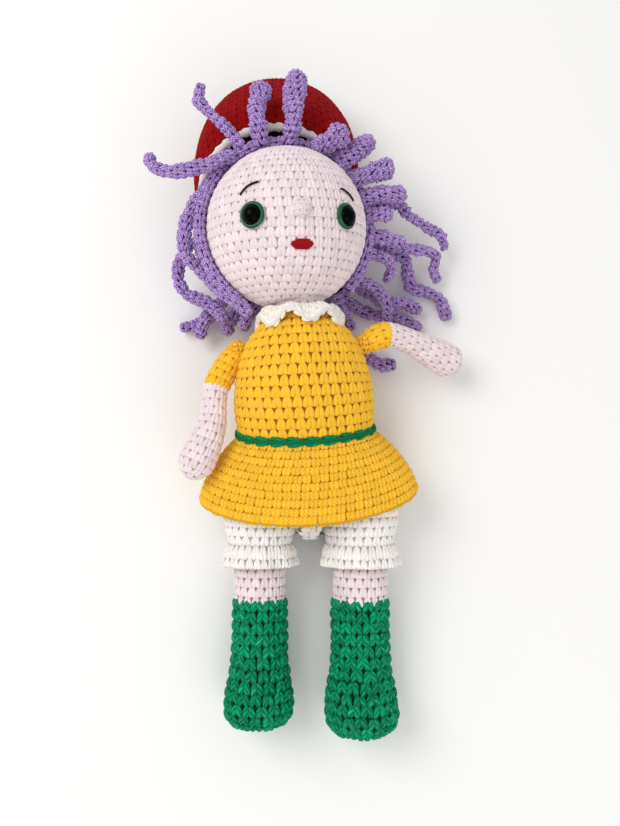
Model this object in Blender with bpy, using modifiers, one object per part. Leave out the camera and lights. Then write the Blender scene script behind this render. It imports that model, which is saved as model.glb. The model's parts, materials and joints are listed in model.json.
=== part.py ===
"""A crocheted doll with a hat, curls, a belted dress, bloomers and boots.

The doll lies on its back on z = 0, with its face up (+Z), its head towards +Y and its feet
towards -Y. Left and right are the viewer's. Lengths are in metres.
"""

import math

import bmesh
import bpy
import numpy as np
from mathutils import Euler, Matrix, Vector

MM = 0.001

# Clearances
GAP = 0.3 * MM
FLOOR_CUT = 0.5 * MM
BACK_FLATNESS = 0.7
CUTTER_OVERRUN = 4.0 * MM
FLOOR_CUTTER_SIZE = 600.0 * MM
MERGE_DISTANCE = 0.005 * MM

# How the doll lies
TORSO_PITCH = math.radians(11.0)
TORSO_LEAN = math.radians(3.0)
HEAD_TURN = math.radians(12.0)
HEAD_ROLL = math.radians(2.0)
LEG_PITCH = math.radians(5.4)
WAIST_X = -2.0 * MM
WAIST_Y = -8.0 * MM
WAIST_Z = 25.0 * MM
WAIST_PLACE = Vector((WAIST_X, WAIST_Y, WAIST_Z))
WAIST_TILT = math.radians(8.0)
HIP_Y = -40.0 * MM
HIP_Z = 20.0 * MM
HIP_PLACE = Vector((0.0, HIP_Y, HIP_Z))

# Head
HEAD_RADIUS = 35.0 * MM
HEAD_OFFSET_X = -3.9 * MM
HEAD_OFFSET_Z = -1.6 * MM
HEAD_SEGMENTS = 28
HEAD_RINGS = 18

# Bodice: shares of its height, half width and half depth
BODICE_HEIGHT = 52.0 * MM
BODICE_HALF_WIDTH = 30.6 * MM
BODICE_HALF_DEPTH = 24.3 * MM
BODICE_ROUTE_SHARES = ((0.0, 0.0), (0.25, 0.75), (0.5, 1.0), (1.0, 0.0))
BODICE_SHARES = (
    (0.00, 0.965, 0.98),
    (0.10, 0.99, 1.00),
    (0.28, 1.00, 1.00),
    (0.54, 0.925, 0.95),
    (0.74, 0.80, 0.84),
    (0.88, 0.63, 0.69),
    (1.00, 0.47, 0.54),
)

# Neck
NECK_RADIUS = 11.5 * MM
NECK_SEAT_DEPTH = 5.0 * MM
NECK_SHOWN = 2.5 * MM
NECK_SEGMENTS = 24

# Collar
COLLAR_RADIUS = 19.3 * MM
COLLAR_INNER_SHARE = 0.68
COLLAR_THICKNESS = 2.0 * MM
COLLAR_WAVES = 7
COLLAR_WAVE_HEIGHT = 2.7 * MM
COLLAR_DROOP = 4.0 * MM
COLLAR_GAP = 1.5 * MM

# Belt
BELT_RADIUS = 1.8 * MM
BELT_POINTS = 36

# Skirt
SKIRT_LENGTH = 34.0 * MM
SKIRT_THICKNESS = 2.4 * MM
HEM_HALF_WIDTH = 48.0 * MM
HEM_FRONT_DROP = 3.6 * MM
SKIRT_FLARE_TURN_SHARE = 0.84

# Pelvis: shares of its height, half width, half depth and lift
PELVIS_HEIGHT = 36.0 * MM
PELVIS_HALF_WIDTH = 36.5 * MM
PELVIS_SHARES = (
    (-0.40, 0.12, 0.30, 0.00),
    (-0.30, 0.45, 0.66, 0.00),
    (-0.16, 0.82, 0.87, 0.00),
    (0.00, 0.96, 0.96, 0.00),
    (0.25, 0.93, 1.00, 0.03),
    (0.60, 0.75, 1.05, 0.12),
    (1.00, 0.64, 1.08, 0.14),
)

# Bloomers and legs, measured down from the hip
HIP_RADIUS = 16.3 * MM
LEG_SPACING = 22.0 * MM
LEG_SIZES = {"left": 0.96, "right": 1.02}
CROTCH_HALF_WIDTH = 4.6 * MM
BLOOMER_LENGTH = 22.0 * MM
BLOOMER_CUFF_RADIUS = 14.4 * MM
BLOOMER_TOP_ANGLE = math.radians(78.0)
BLOOMER_TOP_STEPS = 4
BLOOMER_TOP_NARROWING_SHARE = 0.12
BLOOMER_MIDDLE_SHARES = (0.4, 0.96)
BLOOMER_CUFF_START_SHARE = 0.74
RUFFLE_RADIUS = 15.4 * MM
RUFFLE_LENGTH = 9.0 * MM
RUFFLE_OVERLAP = 5.0 * MM
RUFFLE_THICKNESS = 1.8 * MM
RUFFLE_WAVES = 9
RUFFLE_WAVE_HEIGHT = 0.7 * MM
LEG_RADIUS = 11.6 * MM
LEG_SEAT_RADIUS = 10.0 * MM
LEG_LENGTH = 18.0 * MM
LEG_SEAT_DEPTH = 3.0 * MM
LEG_SEAT_START_SHARE = 0.9

# Boot: the sections of the shaft and of the foot as (share of the boot's height, then shares of
# the half width, of the half length and of how far the middle stands forward)
BOOT_HEIGHT = 54.0 * MM
BOOT_TOP_RADIUS = 12.4 * MM
FOOT_HALF_WIDTH = 15.6 * MM
FOOT_HALF_LENGTH = 18.0 * MM
BOOT_SHAFT_SHARES = ((0.00, 1.00, 1.00, 0.00), (0.28, 1.02, 1.01, 0.00), (0.48, 1.05, 1.04, 0.01))
BOOT_FOOT_SHARES = (
    (0.64, 0.90, 0.79, 0.09),
    (0.78, 0.98, 0.94, 0.27),
    (0.88, 1.00, 1.00, 0.36),
    (1.00, 0.96, 0.97, 0.37),
)
SOLE_SHARE = 0.14
SOLE_ROUND_SHARE = 0.32
SOLE_STEPS = 4

# Arm
SHOULDER_HEIGHT = 37.0 * MM
SHOULDER_HALF_WIDTH = 28.2 * MM
SHOULDER_KNOT_RADIUS = 4.3 * MM
ARM_LENGTH = 61.0 * MM
ARM_HALF_WIDTH = 7.8 * MM
ARM_CUFF_SHARES = {"left": 0.32, "right": 0.22}
SLEEVE_START_SHARE = 0.045
ARM_ROUND_SHARE = 0.14
ARM_SHARES = (
    (0.00, 0.55, 0.46),
    (0.10, 0.66, 0.55),
    (0.22, 0.70, 0.66),
    (0.33, 0.66, 0.65),
    (0.45, 0.69, 0.70),
    (0.62, 0.82, 0.82),
    (0.80, 0.96, 0.93),
    (0.90, 1.00, 0.97),
    (1.00, 0.98, 0.94),
)
LEFT_ARM_ROUTE_SHARES = (
    (0.0, 0.0, 0.0), (-0.14, -0.27, 0.03), (-0.175, -0.58, 0.06), (-0.315, -0.93, 0.09)
)
RIGHT_ARM_ROUTE_SHARES = ((0.0, 0.0, 0.0), (0.22, 0.07, -0.03), (0.73, -0.09, -0.33))

# Eyes
EYE_RADIUS = 5.5 * MM
EYE_FLANGE = 0.7 * MM
EYE_RISE = 1.5 * MM
PUPIL_RADIUS = 4.2 * MM
PUPIL_RISE = 3.0 * MM
PUPIL_SEAT = 0.5 * MM
EYE_STEM_RADIUS = 2.0 * MM
EYE_STEM_LENGTH = 12.0 * MM
WASHER_RADIUS = 6.0 * MM
WASHER_THICKNESS = 1.5 * MM
WASHER_DEPTH = 5.0 * MM
EYE_ANGLE = math.radians(33.2)
EYE_ELEVATION = math.radians(-0.9)
EYE_SEGMENTS = 20

# Face
NOSE_RADIUS = 4.2 * MM
NOSE_ELEVATION = math.radians(2.0)
NOSE_SUNK_SHARE = 0.25
MOUTH_HALF_WIDTH = 5.4 * MM
MOUTH_HALF_HEIGHT = 2.0 * MM
MOUTH_HALF_DEPTH = 1.1 * MM
MOUTH_ELEVATION = math.radians(-20.9)
BROW_RADIUS = 0.5 * MM
BROW_DEGREES = {
    "left_brow": ((-43.0, 13.5), (-37.5, 19.0), (-29.5, 21.5)),
    "right_brow": ((32.0, 18.0), (38.0, 15.5), (43.5, 11.0)),
}

# Wig cap
CAP_THICKNESS = 1.7 * MM
CAP_GAP = 0.75 * MM
HAIRLINE_ROLL = 2.4 * MM
CAP_EDGE_ANGLE = math.radians(83.0)
CAP_ROLL_ANGLE = math.radians(290.0)
NAPE_RADIUS = 23.5 * MM
SCALP_GAP = 0.45 * MM
HAIRLINE_GAP = 0.6 * MM
CAP_SEGMENTS = 28

# Hat: rings from the rim to the crown, as shares of the hat's radius from the head's centre:
# the back point (y, z), the front point (y, z) and the half width
HAT_RADIUS = 40.0 * MM
HAT_OFFSET_X = -5.4 * MM
HAT_THICKNESS = 2.2 * MM
HAT_BAND_RADIUS = 1.3 * MM
HAT_SHARES = (
    (-0.10, 1.19, 0.15, 0.915),
    (0.20, 1.43, 0.10, 0.965),
    (0.60, 1.72, -0.06, 0.94),
    (1.10, 1.98, -0.27, 0.80),
    (1.55, 2.11, -0.49, 0.57),
    (1.87, 2.175, -0.68, 0.31),
)
HAT_CROWN_SHARE = 2.18
HAT_CROWN_LIFT = 8.0 * MM

# Curls: root and tip as shares of the curl's radius, then the route in shares of the head's
# radius from its centre
CURL_RADIUS = 4.0 * MM
CURL_POINT_SPACING = 6.0 * MM
CURL_TIP_SHARE = 0.72
CURL_SHARES = {
    "curl_top_far_left": (0.600, 0.600, (
        (-0.56, 0.95, 0.32), (-0.73, 1.14, 0.44), (-0.91, 1.29, 0.47), (-1.08, 1.51, 0.44),
        (-1.04, 1.70, 0.50))),
    "curl_left_flick": (0.775, 0.675, (
        (-0.67, 0.80, 0.36), (-0.82, 0.70, 0.46), (-1.03, 0.61, 0.48), (-1.39, 0.58, 0.40),
        (-1.64, 0.69, 0.33), (-1.71, 0.86, 0.32))),
    "curl_top_left": (0.875, 1.050, (
        (-0.30, 1.00, 0.29), (-0.34, 1.17, 0.42), (-0.36, 1.45, 0.44), (-0.28, 1.79, 0.36))),
    "curl_top_right": (0.925, 1.225, (
        (0.05, 1.04, 0.25), (0.09, 1.25, 0.42), (0.10, 1.55, 0.44), (0.16, 1.91, 0.38))),
    "curl_crown_right": (1.000, 1.300, (
        (0.36, 1.00, 0.17), (0.57, 1.02, 0.36), (0.77, 1.12, 0.45))),
    "curl_brow_right": (0.975, 1.275, (
        (0.64, 0.86, 0.07), (0.87, 0.97, 0.16), (1.11, 1.12, 0.22))),
    "curl_temple_upper": (0.950, 1.250, (
        (0.85, 0.68, -0.04), (1.10, 0.71, 0.11), (1.36, 0.80, 0.10))),
    "curl_temple_lower": (0.850, 1.025, (
        (0.96, 0.46, -0.11), (1.23, 0.48, -0.02), (1.54, 0.49, -0.05))),
    "curl_cheek_upper": (0.800, 0.950, (
        (1.03, 0.25, -0.15), (1.19, 0.25, -0.11), (1.36, 0.25, -0.13))),
    "curl_cheek_lower": (0.750, 0.825, (
        (1.06, 0.02, -0.19), (1.30, -0.04, -0.22), (1.54, -0.09, -0.29))),
    "curl_far_right": (0.600, 0.600, (
        (0.94, 0.36, -0.34), (1.24, 0.48, -0.38), (1.46, 0.52, -0.42), (1.61, 0.39, -0.47),
        (1.83, 0.30, -0.59), (2.08, 0.22, -0.76), (2.16, 0.06, -0.89))),
    "curl_right_drop": (0.600, 0.600, (
        (0.94, -0.02, -0.48), (1.33, -0.04, -0.49), (1.65, -0.04, -0.59), (1.90, -0.03, -0.70),
        (2.02, -0.08, -0.80), (1.99, -0.23, -0.90), (2.07, -0.37, -0.97))),
    "curl_right_ladder": (0.675, 0.725, (
        (0.80, 0.05, -0.69), (1.30, -0.06, -0.70), (1.58, -0.09, -0.77), (1.63, -0.28, -0.87),
        (1.70, -0.45, -0.96), (1.90, -0.50, -1.00), (2.08, -0.59, -1.02), (2.14, -0.74, -1.02),
        (2.17, -0.90, -1.02))),
    "curl_jaw_right": (0.625, 0.625, (
        (0.99, -0.18, -0.31), (1.27, -0.25, -0.35), (1.38, -0.34, -0.50), (1.30, -0.48, -0.65))),
    "curl_nape_right": (0.650, 0.700, (
        (0.80, -0.50, -0.47), (1.09, -0.57, -0.47), (1.25, -0.68, -0.59), (1.33, -0.82, -0.73),
        (1.32, -0.97, -0.87))),
    "curl_right_low": (0.675, 0.800, (
        (0.66, -0.36, -0.74), (1.09, -0.57, -0.85), (1.39, -0.70, -0.90), (1.61, -0.69, -0.93),
        (1.82, -0.79, -0.97))),
    "curl_right_low_tip": (0.650, 0.675, (
        (0.62, -0.56, -0.65), (1.00, -0.77, -0.97), (1.43, -0.87, -1.03), (1.65, -0.91, -1.03),
        (1.81, -1.04, -1.03))),
    "curl_under_arm": (0.675, 0.800, (
        (0.44, -0.68, -0.70), (0.62, -0.93, -0.91), (0.78, -1.12, -1.00), (1.01, -1.34, -1.03),
        (1.23, -1.51, -1.01), (1.47, -1.52, -1.01))),
    "curl_neck_right": (0.650, 0.750, (
        (0.62, -0.68, -0.55), (0.76, -0.94, -0.62), (0.85, -1.15, -0.66))),
    "curl_left_long": (0.750, 0.625, (
        (-0.93, 0.47, 0.27), (-1.08, 0.29, 0.28), (-1.19, 0.13, 0.22), (-1.27, -0.14, 0.12),
        (-1.26, -0.35, 0.03), (-1.06, -0.53, -0.04), (-0.83, -0.80, -0.04), (-0.57, -0.99, 0.01),
        (-0.44, -1.14, 0.05))),
    "curl_left_outer": (0.650, 0.725, (
        (-0.93, 0.06, -0.50), (-1.19, -0.01, -0.38), (-1.37, -0.20, -0.39), (-1.43, -0.39, -0.45),
        (-1.41, -0.55, -0.50), (-1.31, -0.69, -0.53), (-1.07, -0.80, -0.50), (-0.90, -0.95, -0.43),
        (-0.78, -1.10, -0.37))),
    "curl_left_inner": (0.600, 0.625, (
        (-0.98, 0.24, -0.30), (-1.12, 0.00, -0.20), (-1.13, -0.15, -0.28), (-1.04, -0.33, -0.44),
        (-0.93, -0.50, -0.60))),
    "curl_left_tip_low": (0.675, 0.725, (
        (-0.64, -0.42, -0.73), (-0.85, -0.62, -0.93), (-1.05, -0.80, -1.01), (-1.25, -0.96, -1.02),
        (-1.48, -1.00, -1.02))),
    "curl_left_tip_down": (0.675, 0.750, (
        (-0.68, -0.56, -0.58), (-0.92, -0.76, -0.73), (-1.09, -0.91, -0.80), (-1.20, -1.18, -0.92))),
    "curl_left_shoulder": (0.675, 0.800, (
        (-0.50, -0.72, -0.60), (-0.72, -0.98, -0.63), (-0.83, -1.20, -0.68))),
    "curl_left_shadow": (0.675, 0.775, (
        (-0.40, -0.82, -0.54), (-0.52, -1.03, -0.47), (-0.56, -1.20, -0.45))),
}

# Colours as red, green and blue from 0 to 255
SKIN = (240, 218, 221)
GOLDEN = (250, 184, 40)
BOOT_GREEN = (12, 142, 96)
BELT_GREEN = (12, 134, 82)
LILAC = (168, 130, 208)
HAT_RED = (168, 0, 16)
LIP_RED = (165, 0, 18)
CREAM = (244, 240, 228)
WHITE = (237, 230, 226)
IRIS_GREEN = (10, 105, 50)
BLACK = (6, 6, 7)
CLEAR_GREY = (190, 190, 190)
NOSE_PINK = (233, 196, 203)

PARTS = "amigurumi_doll"
CUTTERS = "cutters"


# Scene and materials

def clear_scene():
    for old in list(bpy.data.objects):
        bpy.data.objects.remove(old, do_unlink=True)


def collection(name):
    found = bpy.data.collections.get(name) or bpy.data.collections.new(name)
    if name not in bpy.context.scene.collection.children:
        bpy.context.scene.collection.children.link(found)
    return found


def linear(channel):
    value = channel / 255
    return value / 12.92 if value <= 0.04045 else ((value + 0.055) / 1.055) ** 2.4


def material(name, colour, roughness, metallic=0.0):
    made = bpy.data.materials.new(name)
    made.use_nodes = True
    shader = made.node_tree.nodes["Principled BSDF"]
    shader.inputs["Base Color"].default_value = [linear(c) for c in colour] + [1.0]
    shader.inputs["Roughness"].default_value = roughness
    shader.inputs["Metallic"].default_value = metallic
    return made


def yarn(name, colour):
    return material(name + "_yarn", colour, 0.85)


# Frames: empties that the pieces hang on, each on the axis that its pieces turn about

def frame(name, place, turn=(0.0, 0.0, 0.0), order="XYZ", parent=None):
    empty = bpy.data.objects.new(name, None)
    collection(PARTS).objects.link(empty)
    empty.rotation_mode = order
    empty.location = place
    empty.rotation_euler = Euler(turn, order)
    if parent:
        empty.parent = parent
        bpy.context.view_layer.update()
        empty.matrix_parent_inverse = parent.matrix_world.inverted()
    bpy.context.view_layer.update()
    return empty


def torso_point(x, y, z):
    turn = Euler((TORSO_PITCH, 0.0, TORSO_LEAN)).to_matrix()
    return WAIST_PLACE + turn @ Vector((x, y, z))


def head_place():
    return torso_point(HEAD_OFFSET_X, BODICE_HEIGHT + HEAD_RADIUS + NECK_SHOWN, HEAD_OFFSET_Z)


# Objects

def add(name, bm, parent, look=None, cutter=False):
    bmesh.ops.recalc_face_normals(bm, faces=bm.faces)
    mesh = bpy.data.meshes.new(name)
    bm.to_mesh(mesh)
    bm.free()
    return add_mesh(name, mesh, parent, look, cutter)


def add_mesh(name, mesh, parent, look=None, cutter=False):
    made = bpy.data.objects.new(name, mesh)
    collection(CUTTERS if cutter else PARTS).objects.link(made)
    made.parent = parent
    if look:
        mesh.materials.clear()
        mesh.materials.append(look)
    if cutter:
        made.hide_render = True
        made.display_type = "WIRE"
    else:
        mesh.shade_smooth()
        mesh.set_sharp_from_angle(angle=math.radians(50))
    return made


def cut(target, cutter):
    change = target.modifiers.new("cut_by_" + cutter.name, "BOOLEAN")
    change.operation = "DIFFERENCE"
    change.object = cutter


def evaluated_mesh(source):
    bpy.context.view_layer.update()
    graph = bpy.context.evaluated_depsgraph_get()
    return bpy.data.meshes.new_from_object(source.evaluated_get(graph))


def grown(source, by=GAP):
    """A cutter of the same shape as a piece, larger by the clearance."""
    bm = bmesh.new()
    bm.from_mesh(evaluated_mesh(source))
    bm.normal_update()
    for vert in bm.verts:
        vert.co += vert.normal * by
    made = add(source.name + "_clearance", bm, source.parent, cutter=True)
    made.location = source.location
    made.rotation_euler = source.rotation_euler
    return made


# Curves through chosen values

def monotone(knots, values, at):
    """A smooth curve through the values that never overshoots them."""
    x, y = np.array(knots), np.array(values)
    step = np.diff(x)
    rise = np.diff(y) / step
    slope = np.zeros_like(y)
    slope[0], slope[-1] = rise[0], rise[-1]
    for i in range(1, len(y) - 1):
        if rise[i - 1] * rise[i] > 0:
            before, after = 2 * step[i] + step[i - 1], step[i] + 2 * step[i - 1]
            slope[i] = (before + after) / (before / rise[i - 1] + after / rise[i])
    i = int(np.clip(np.searchsorted(x, at) - 1, 0, len(step) - 1))
    s = (at - x[i]) / step[i]
    return float(
        (2 * s ** 3 - 3 * s ** 2 + 1) * y[i]
        + (s ** 3 - 2 * s ** 2 + s) * step[i] * slope[i]
        + (3 * s ** 2 - 2 * s ** 3) * y[i + 1]
        + (s ** 3 - s ** 2) * step[i] * slope[i + 1]
    )


def smooth_route(points, per_stretch=8):
    """Points on a smooth curve through the route's own points."""
    points = [Vector(p) for p in points]
    found = []
    for i in range(len(points) - 1):
        p0, p1 = points[max(i - 1, 0)], points[i]
        p2, p3 = points[i + 1], points[min(i + 2, len(points) - 1)]
        for k in range(per_stretch):
            f = k / per_stretch
            found.append(0.5 * (
                2 * p1 + (p2 - p0) * f + (2 * p0 - 5 * p1 + 4 * p2 - p3) * f ** 2
                + (3 * p1 - p0 - 3 * p2 + p3) * f ** 3
            ))
    return found + [points[-1]]


class Route:
    """A smooth line that gives its point and direction at any share of its length."""

    def __init__(self, points):
        self.points = smooth_route(points) if len(points) > 2 else [Vector(p) for p in points]
        steps = [(b - a).length for a, b in zip(self.points, self.points[1:])]
        self.marks = np.concatenate([[0.0], np.cumsum(steps)])
        self.length = float(self.marks[-1])

    def at(self, share):
        where = min(max(share, 0.0), 1.0) * self.length
        i = int(np.clip(np.searchsorted(self.marks, where) - 1, 0, len(self.points) - 2))
        f = (where - self.marks[i]) / (self.marks[i + 1] - self.marks[i])
        return self.points[i].lerp(self.points[i + 1], float(f))

    def direction(self, share, step=0.02):
        return (self.at(share + step) - self.at(share - step)).normalized()


# Solids built of rings

def skin_rings(rings, closed_start=True, closed_end=True):
    """Quads between rings of points. A ring of one point closes an end as a pole."""
    bm = bmesh.new()
    made = [[bm.verts.new(p) for p in ring] for ring in rings]
    for low, high in zip(made, made[1:]):
        count = max(len(low), len(high))
        for i in range(count):
            j = (i + 1) % count
            if len(low) == 1:
                bm.faces.new((low[0], high[i], high[j]))
            elif len(high) == 1:
                bm.faces.new((low[i], low[j], high[0]))
            else:
                bm.faces.new((low[i], low[j], high[j], high[i]))
    if closed_start and len(made[0]) > 1:
        bm.faces.new(made[0])
    if closed_end and len(made[-1]) > 1:
        bm.faces.new(made[-1])
    return bm


def round_share(angle, flatness=1.0):
    """Across and up shares of a ring. Its lower half is flatter and squarer below 1."""
    side, up = math.cos(angle), math.sin(angle)
    if up < 0:
        side = math.copysign(abs(side) ** flatness, side)
        up = -abs(up) ** flatness
    return side, up


def ring(centre, across, up, half_width, half_depth, sides, flatness=1.0):
    if half_width <= 0 or half_depth <= 0:
        return [centre]
    shares = [round_share(2 * math.pi * i / sides, flatness) for i in range(sides)]
    return [centre + across * (half_width * x) + up * (half_depth * y) for x, y in shares]


def swept(route, sections, across, sides=20, steps=8, span=(0.0, 1.0), round_start=0.0,
          round_end=0.0, cap_steps=4):
    """A solid along a route. Sections are (share, half width, half depth) along it."""
    knots = [s[0] for s in sections]
    start, end = span
    marks = []
    for k in range(cap_steps if round_start else 0):
        angle = math.pi / 2 * k / cap_steps
        marks.append((start + round_start * (1 - math.cos(angle)), math.sin(angle)))
    body = np.linspace(start + round_start, end - round_end, steps + 1)
    marks += [(float(share), 1.0) for share in body]
    for k in reversed(range(cap_steps if round_end else 0)):
        angle = math.pi / 2 * k / cap_steps
        marks.append((end - round_end * (1 - math.cos(angle)), math.sin(angle)))
    rings = []
    for share, factor in marks:
        along = route.direction(share)
        side = (across - along * across.dot(along)).normalized()
        width = monotone(knots, [s[1] for s in sections], share) * factor
        depth = monotone(knots, [s[2] for s in sections], share) * factor
        rings.append(ring(route.at(share), side, side.cross(along), width, depth, sides))
    return skin_rings(rings)


def ball(radii, segments, rings):
    bm = bmesh.new()
    bmesh.ops.create_uvsphere(bm, u_segments=segments, v_segments=rings, radius=1.0)
    bmesh.ops.scale(bm, vec=radii, verts=bm.verts)
    return bm


def cylinder(radius, length, segments, end_radius=None):
    bm = bmesh.new()
    bmesh.ops.create_cone(
        bm, cap_ends=True, segments=segments, depth=length, radius1=radius,
        radius2=radius if end_radius is None else end_radius,
    )
    return bm


def turned(name, profile, segments, parent, look=None, cutter=False):
    """A profile of (radius, height), down the outer side, turned about the local z axis."""
    bm = bmesh.new()
    verts = [bm.verts.new((radius, 0.0, height)) for radius, height in profile]
    for a, b in zip(verts, verts[1:]):
        bm.edges.new((a, b))
    if profile[0][0] > 0:
        bm.edges.new((verts[-1], verts[0]))
    mesh = bpy.data.meshes.new(name)
    bm.to_mesh(mesh)
    bm.free()
    made = add_mesh(name, mesh, parent, look, cutter)
    turn = made.modifiers.new("turn", "SCREW")
    turn.steps = segments
    turn.render_steps = segments
    turn.use_merge_vertices = True
    turn.merge_threshold = MERGE_DISTANCE
    turn.use_smooth_shade = True
    return made


def tube(name, points, radii, parent, look, cyclic=False, sides_beyond_four=2):
    """A tube along points, as a curve with a bevel, turned into a mesh so that it can be cut."""
    curve = bpy.data.curves.new(name, "CURVE")
    curve.dimensions = "3D"
    curve.bevel_depth = 1.0
    curve.bevel_resolution = sides_beyond_four // 2
    curve.use_fill_caps = True
    spline = curve.splines.new("POLY")
    spline.points.add(len(points) - 1)
    spline.use_cyclic_u = cyclic
    for point, place, radius in zip(spline.points, points, radii):
        point.co = (*place, 1.0)
        point.radius = radius
    drawn = bpy.data.objects.new(name + "_curve", curve)
    collection(PARTS).objects.link(drawn)
    drawn.parent = parent
    mesh = evaluated_mesh(drawn)
    bm = bmesh.new()
    bm.from_mesh(mesh)
    bmesh.ops.remove_doubles(bm, verts=bm.verts, dist=MERGE_DISTANCE)
    bpy.data.objects.remove(drawn, do_unlink=True)
    return add(name, bm, parent, look)


def thicken(target, thickness, offset):
    shell = target.modifiers.new("shell", "SOLIDIFY")
    shell.thickness = thickness
    shell.offset = offset
    shell.use_even_offset = True


# The floor that flattens what rests on it

def add_floor(root):
    bm = bmesh.new()
    bmesh.ops.create_cube(bm, size=FLOOR_CUTTER_SIZE)
    bmesh.ops.translate(bm, vec=(0, 0, -FLOOR_CUTTER_SIZE / 2), verts=bm.verts)
    return add("floor", bm, root, cutter=True)


# Torso, neck, collar, belt and skirt

def add_bodice(torso):
    belly = BODICE_HEIGHT * math.tan(WAIST_TILT) / 4
    up = Route([(0, BODICE_HEIGHT * along, belly * out) for along, out in BODICE_ROUTE_SHARES])
    sections = [(s, BODICE_HALF_WIDTH * w, BODICE_HALF_DEPTH * d) for s, w, d in BODICE_SHARES]
    return add("torso", swept(up, sections, Vector((1, 0, 0)), sides=28, steps=10), torso,
               yarn("torso", GOLDEN))


def add_neck(pivot, bodice, head, head_room):
    top = head.matrix_world.translation - pivot.matrix_world.translation
    length = NECK_SEAT_DEPTH + top.length - HEAD_RADIUS / 2
    bm = cylinder(NECK_RADIUS, length, NECK_SEGMENTS)
    bmesh.ops.rotate(bm, matrix=Matrix.Rotation(math.pi / 2, 3, "X"), verts=bm.verts)
    bmesh.ops.translate(bm, vec=(0, length / 2 - NECK_SEAT_DEPTH, 0), verts=bm.verts)
    neck = add("neck", bm, pivot, yarn("neck", SKIN))
    cut(neck, head_room)
    cut(bodice, grown(neck))


def add_collar(torso, head_room):
    """A frill round the neck whose outer edge hangs and rises and falls in waves."""
    sides, rows = COLLAR_WAVES * 6, 3
    rings = []
    for row in range(rows + 1):
        share = row / rows
        radius = COLLAR_RADIUS * (COLLAR_INNER_SHARE + (1 - COLLAR_INNER_SHARE) * share)
        points = []
        for i in range(sides):
            angle = 2 * math.pi * i / sides
            wave = COLLAR_WAVE_HEIGHT * share * math.cos(COLLAR_WAVES * angle)
            droop = COLLAR_DROOP * share ** 2
            height = BODICE_HEIGHT + COLLAR_THICKNESS / 2 + COLLAR_GAP - droop + wave
            points.append(Vector((radius * math.cos(angle), height, radius * math.sin(angle))))
        rings.append(points)
    collar = add("collar", skin_rings(rings, False, False), torso, yarn("collar", CREAM))
    thicken(collar, COLLAR_THICKNESS, 0.0)
    cut(collar, head_room)


def waist_point(angle, grow=0.0):
    """A point on the lower edge of the bodice, in the torso's own frame."""
    share = BODICE_SHARES[0]
    width = BODICE_HALF_WIDTH * share[1] + grow
    depth = BODICE_HALF_DEPTH * share[2] + grow
    rise = depth * math.sin(angle)
    place = (width * math.cos(angle), -rise * math.sin(WAIST_TILT), rise * math.cos(WAIST_TILT))
    return Vector(place)


def add_belt(torso, bodice, skirt, floor):
    angles = [2 * math.pi * i / BELT_POINTS for i in range(BELT_POINTS)]
    points = [waist_point(angle, BELT_RADIUS / 2) for angle in angles]
    radii = [BELT_RADIUS] * BELT_POINTS
    belt = tube("belt", points, radii, torso, yarn("belt", BELT_GREEN), True)
    clearance = grown(belt)
    cut(bodice, clearance)
    cut(skirt, clearance)
    cut(belt, floor)


def skirt_line(angle, rows):
    """One line of the skirt from the waist to the hem, with the cloth's length kept."""
    tilt = Matrix.Rotation(TORSO_PITCH, 3, "X")
    start = tilt @ (waist_point(angle) + Vector((0, -GAP, 0)))
    side, front = round_share(angle, BACK_FLATNESS)
    hem_depth = (WAIST_PLACE.z + FLOOR_CUT) * max(-front, 0.0)
    hem_depth += (start.z - HEM_FRONT_DROP * front) * (1 if front > 0 else 0)
    hem_z = hem_depth if front > 0 else -hem_depth
    hem_x = HEM_HALF_WIDTH * side
    turn = math.pi / 2 * SKIRT_FLARE_TURN_SHARE
    points = [start]
    y = start.y
    for row in range(1, rows + 1):
        flare = math.sin(turn * row / rows) / math.sin(turn)
        sink = min(1.0, 2.0 * row / rows)
        x = start.x + (hem_x - start.x) * flare
        z = start.z + (hem_z - start.z) * (sink if front < 0 else row / rows)
        run = Vector((x - points[-1].x, 0.0, z - points[-1].z)).length
        y -= math.sqrt(max((SKIRT_LENGTH / rows) ** 2 - run ** 2, 0.0))
        points.append(Vector((x, y, z)))
    return points


def add_skirt(hang, floor, bodice_room):
    sides, rows = 36, 7
    lines = [skirt_line(2 * math.pi * i / sides, rows) for i in range(sides)]
    rings = [[line[row] for line in lines] for row in range(rows + 1)]
    skirt = add("skirt", skin_rings(rings, False, False), hang, yarn("skirt", GOLDEN))
    thicken(skirt, SKIRT_THICKNESS, -1.0)
    cut(skirt, floor)
    cut(skirt, bodice_room)
    return skirt


# Pelvis, bloomers, legs and boots

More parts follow.
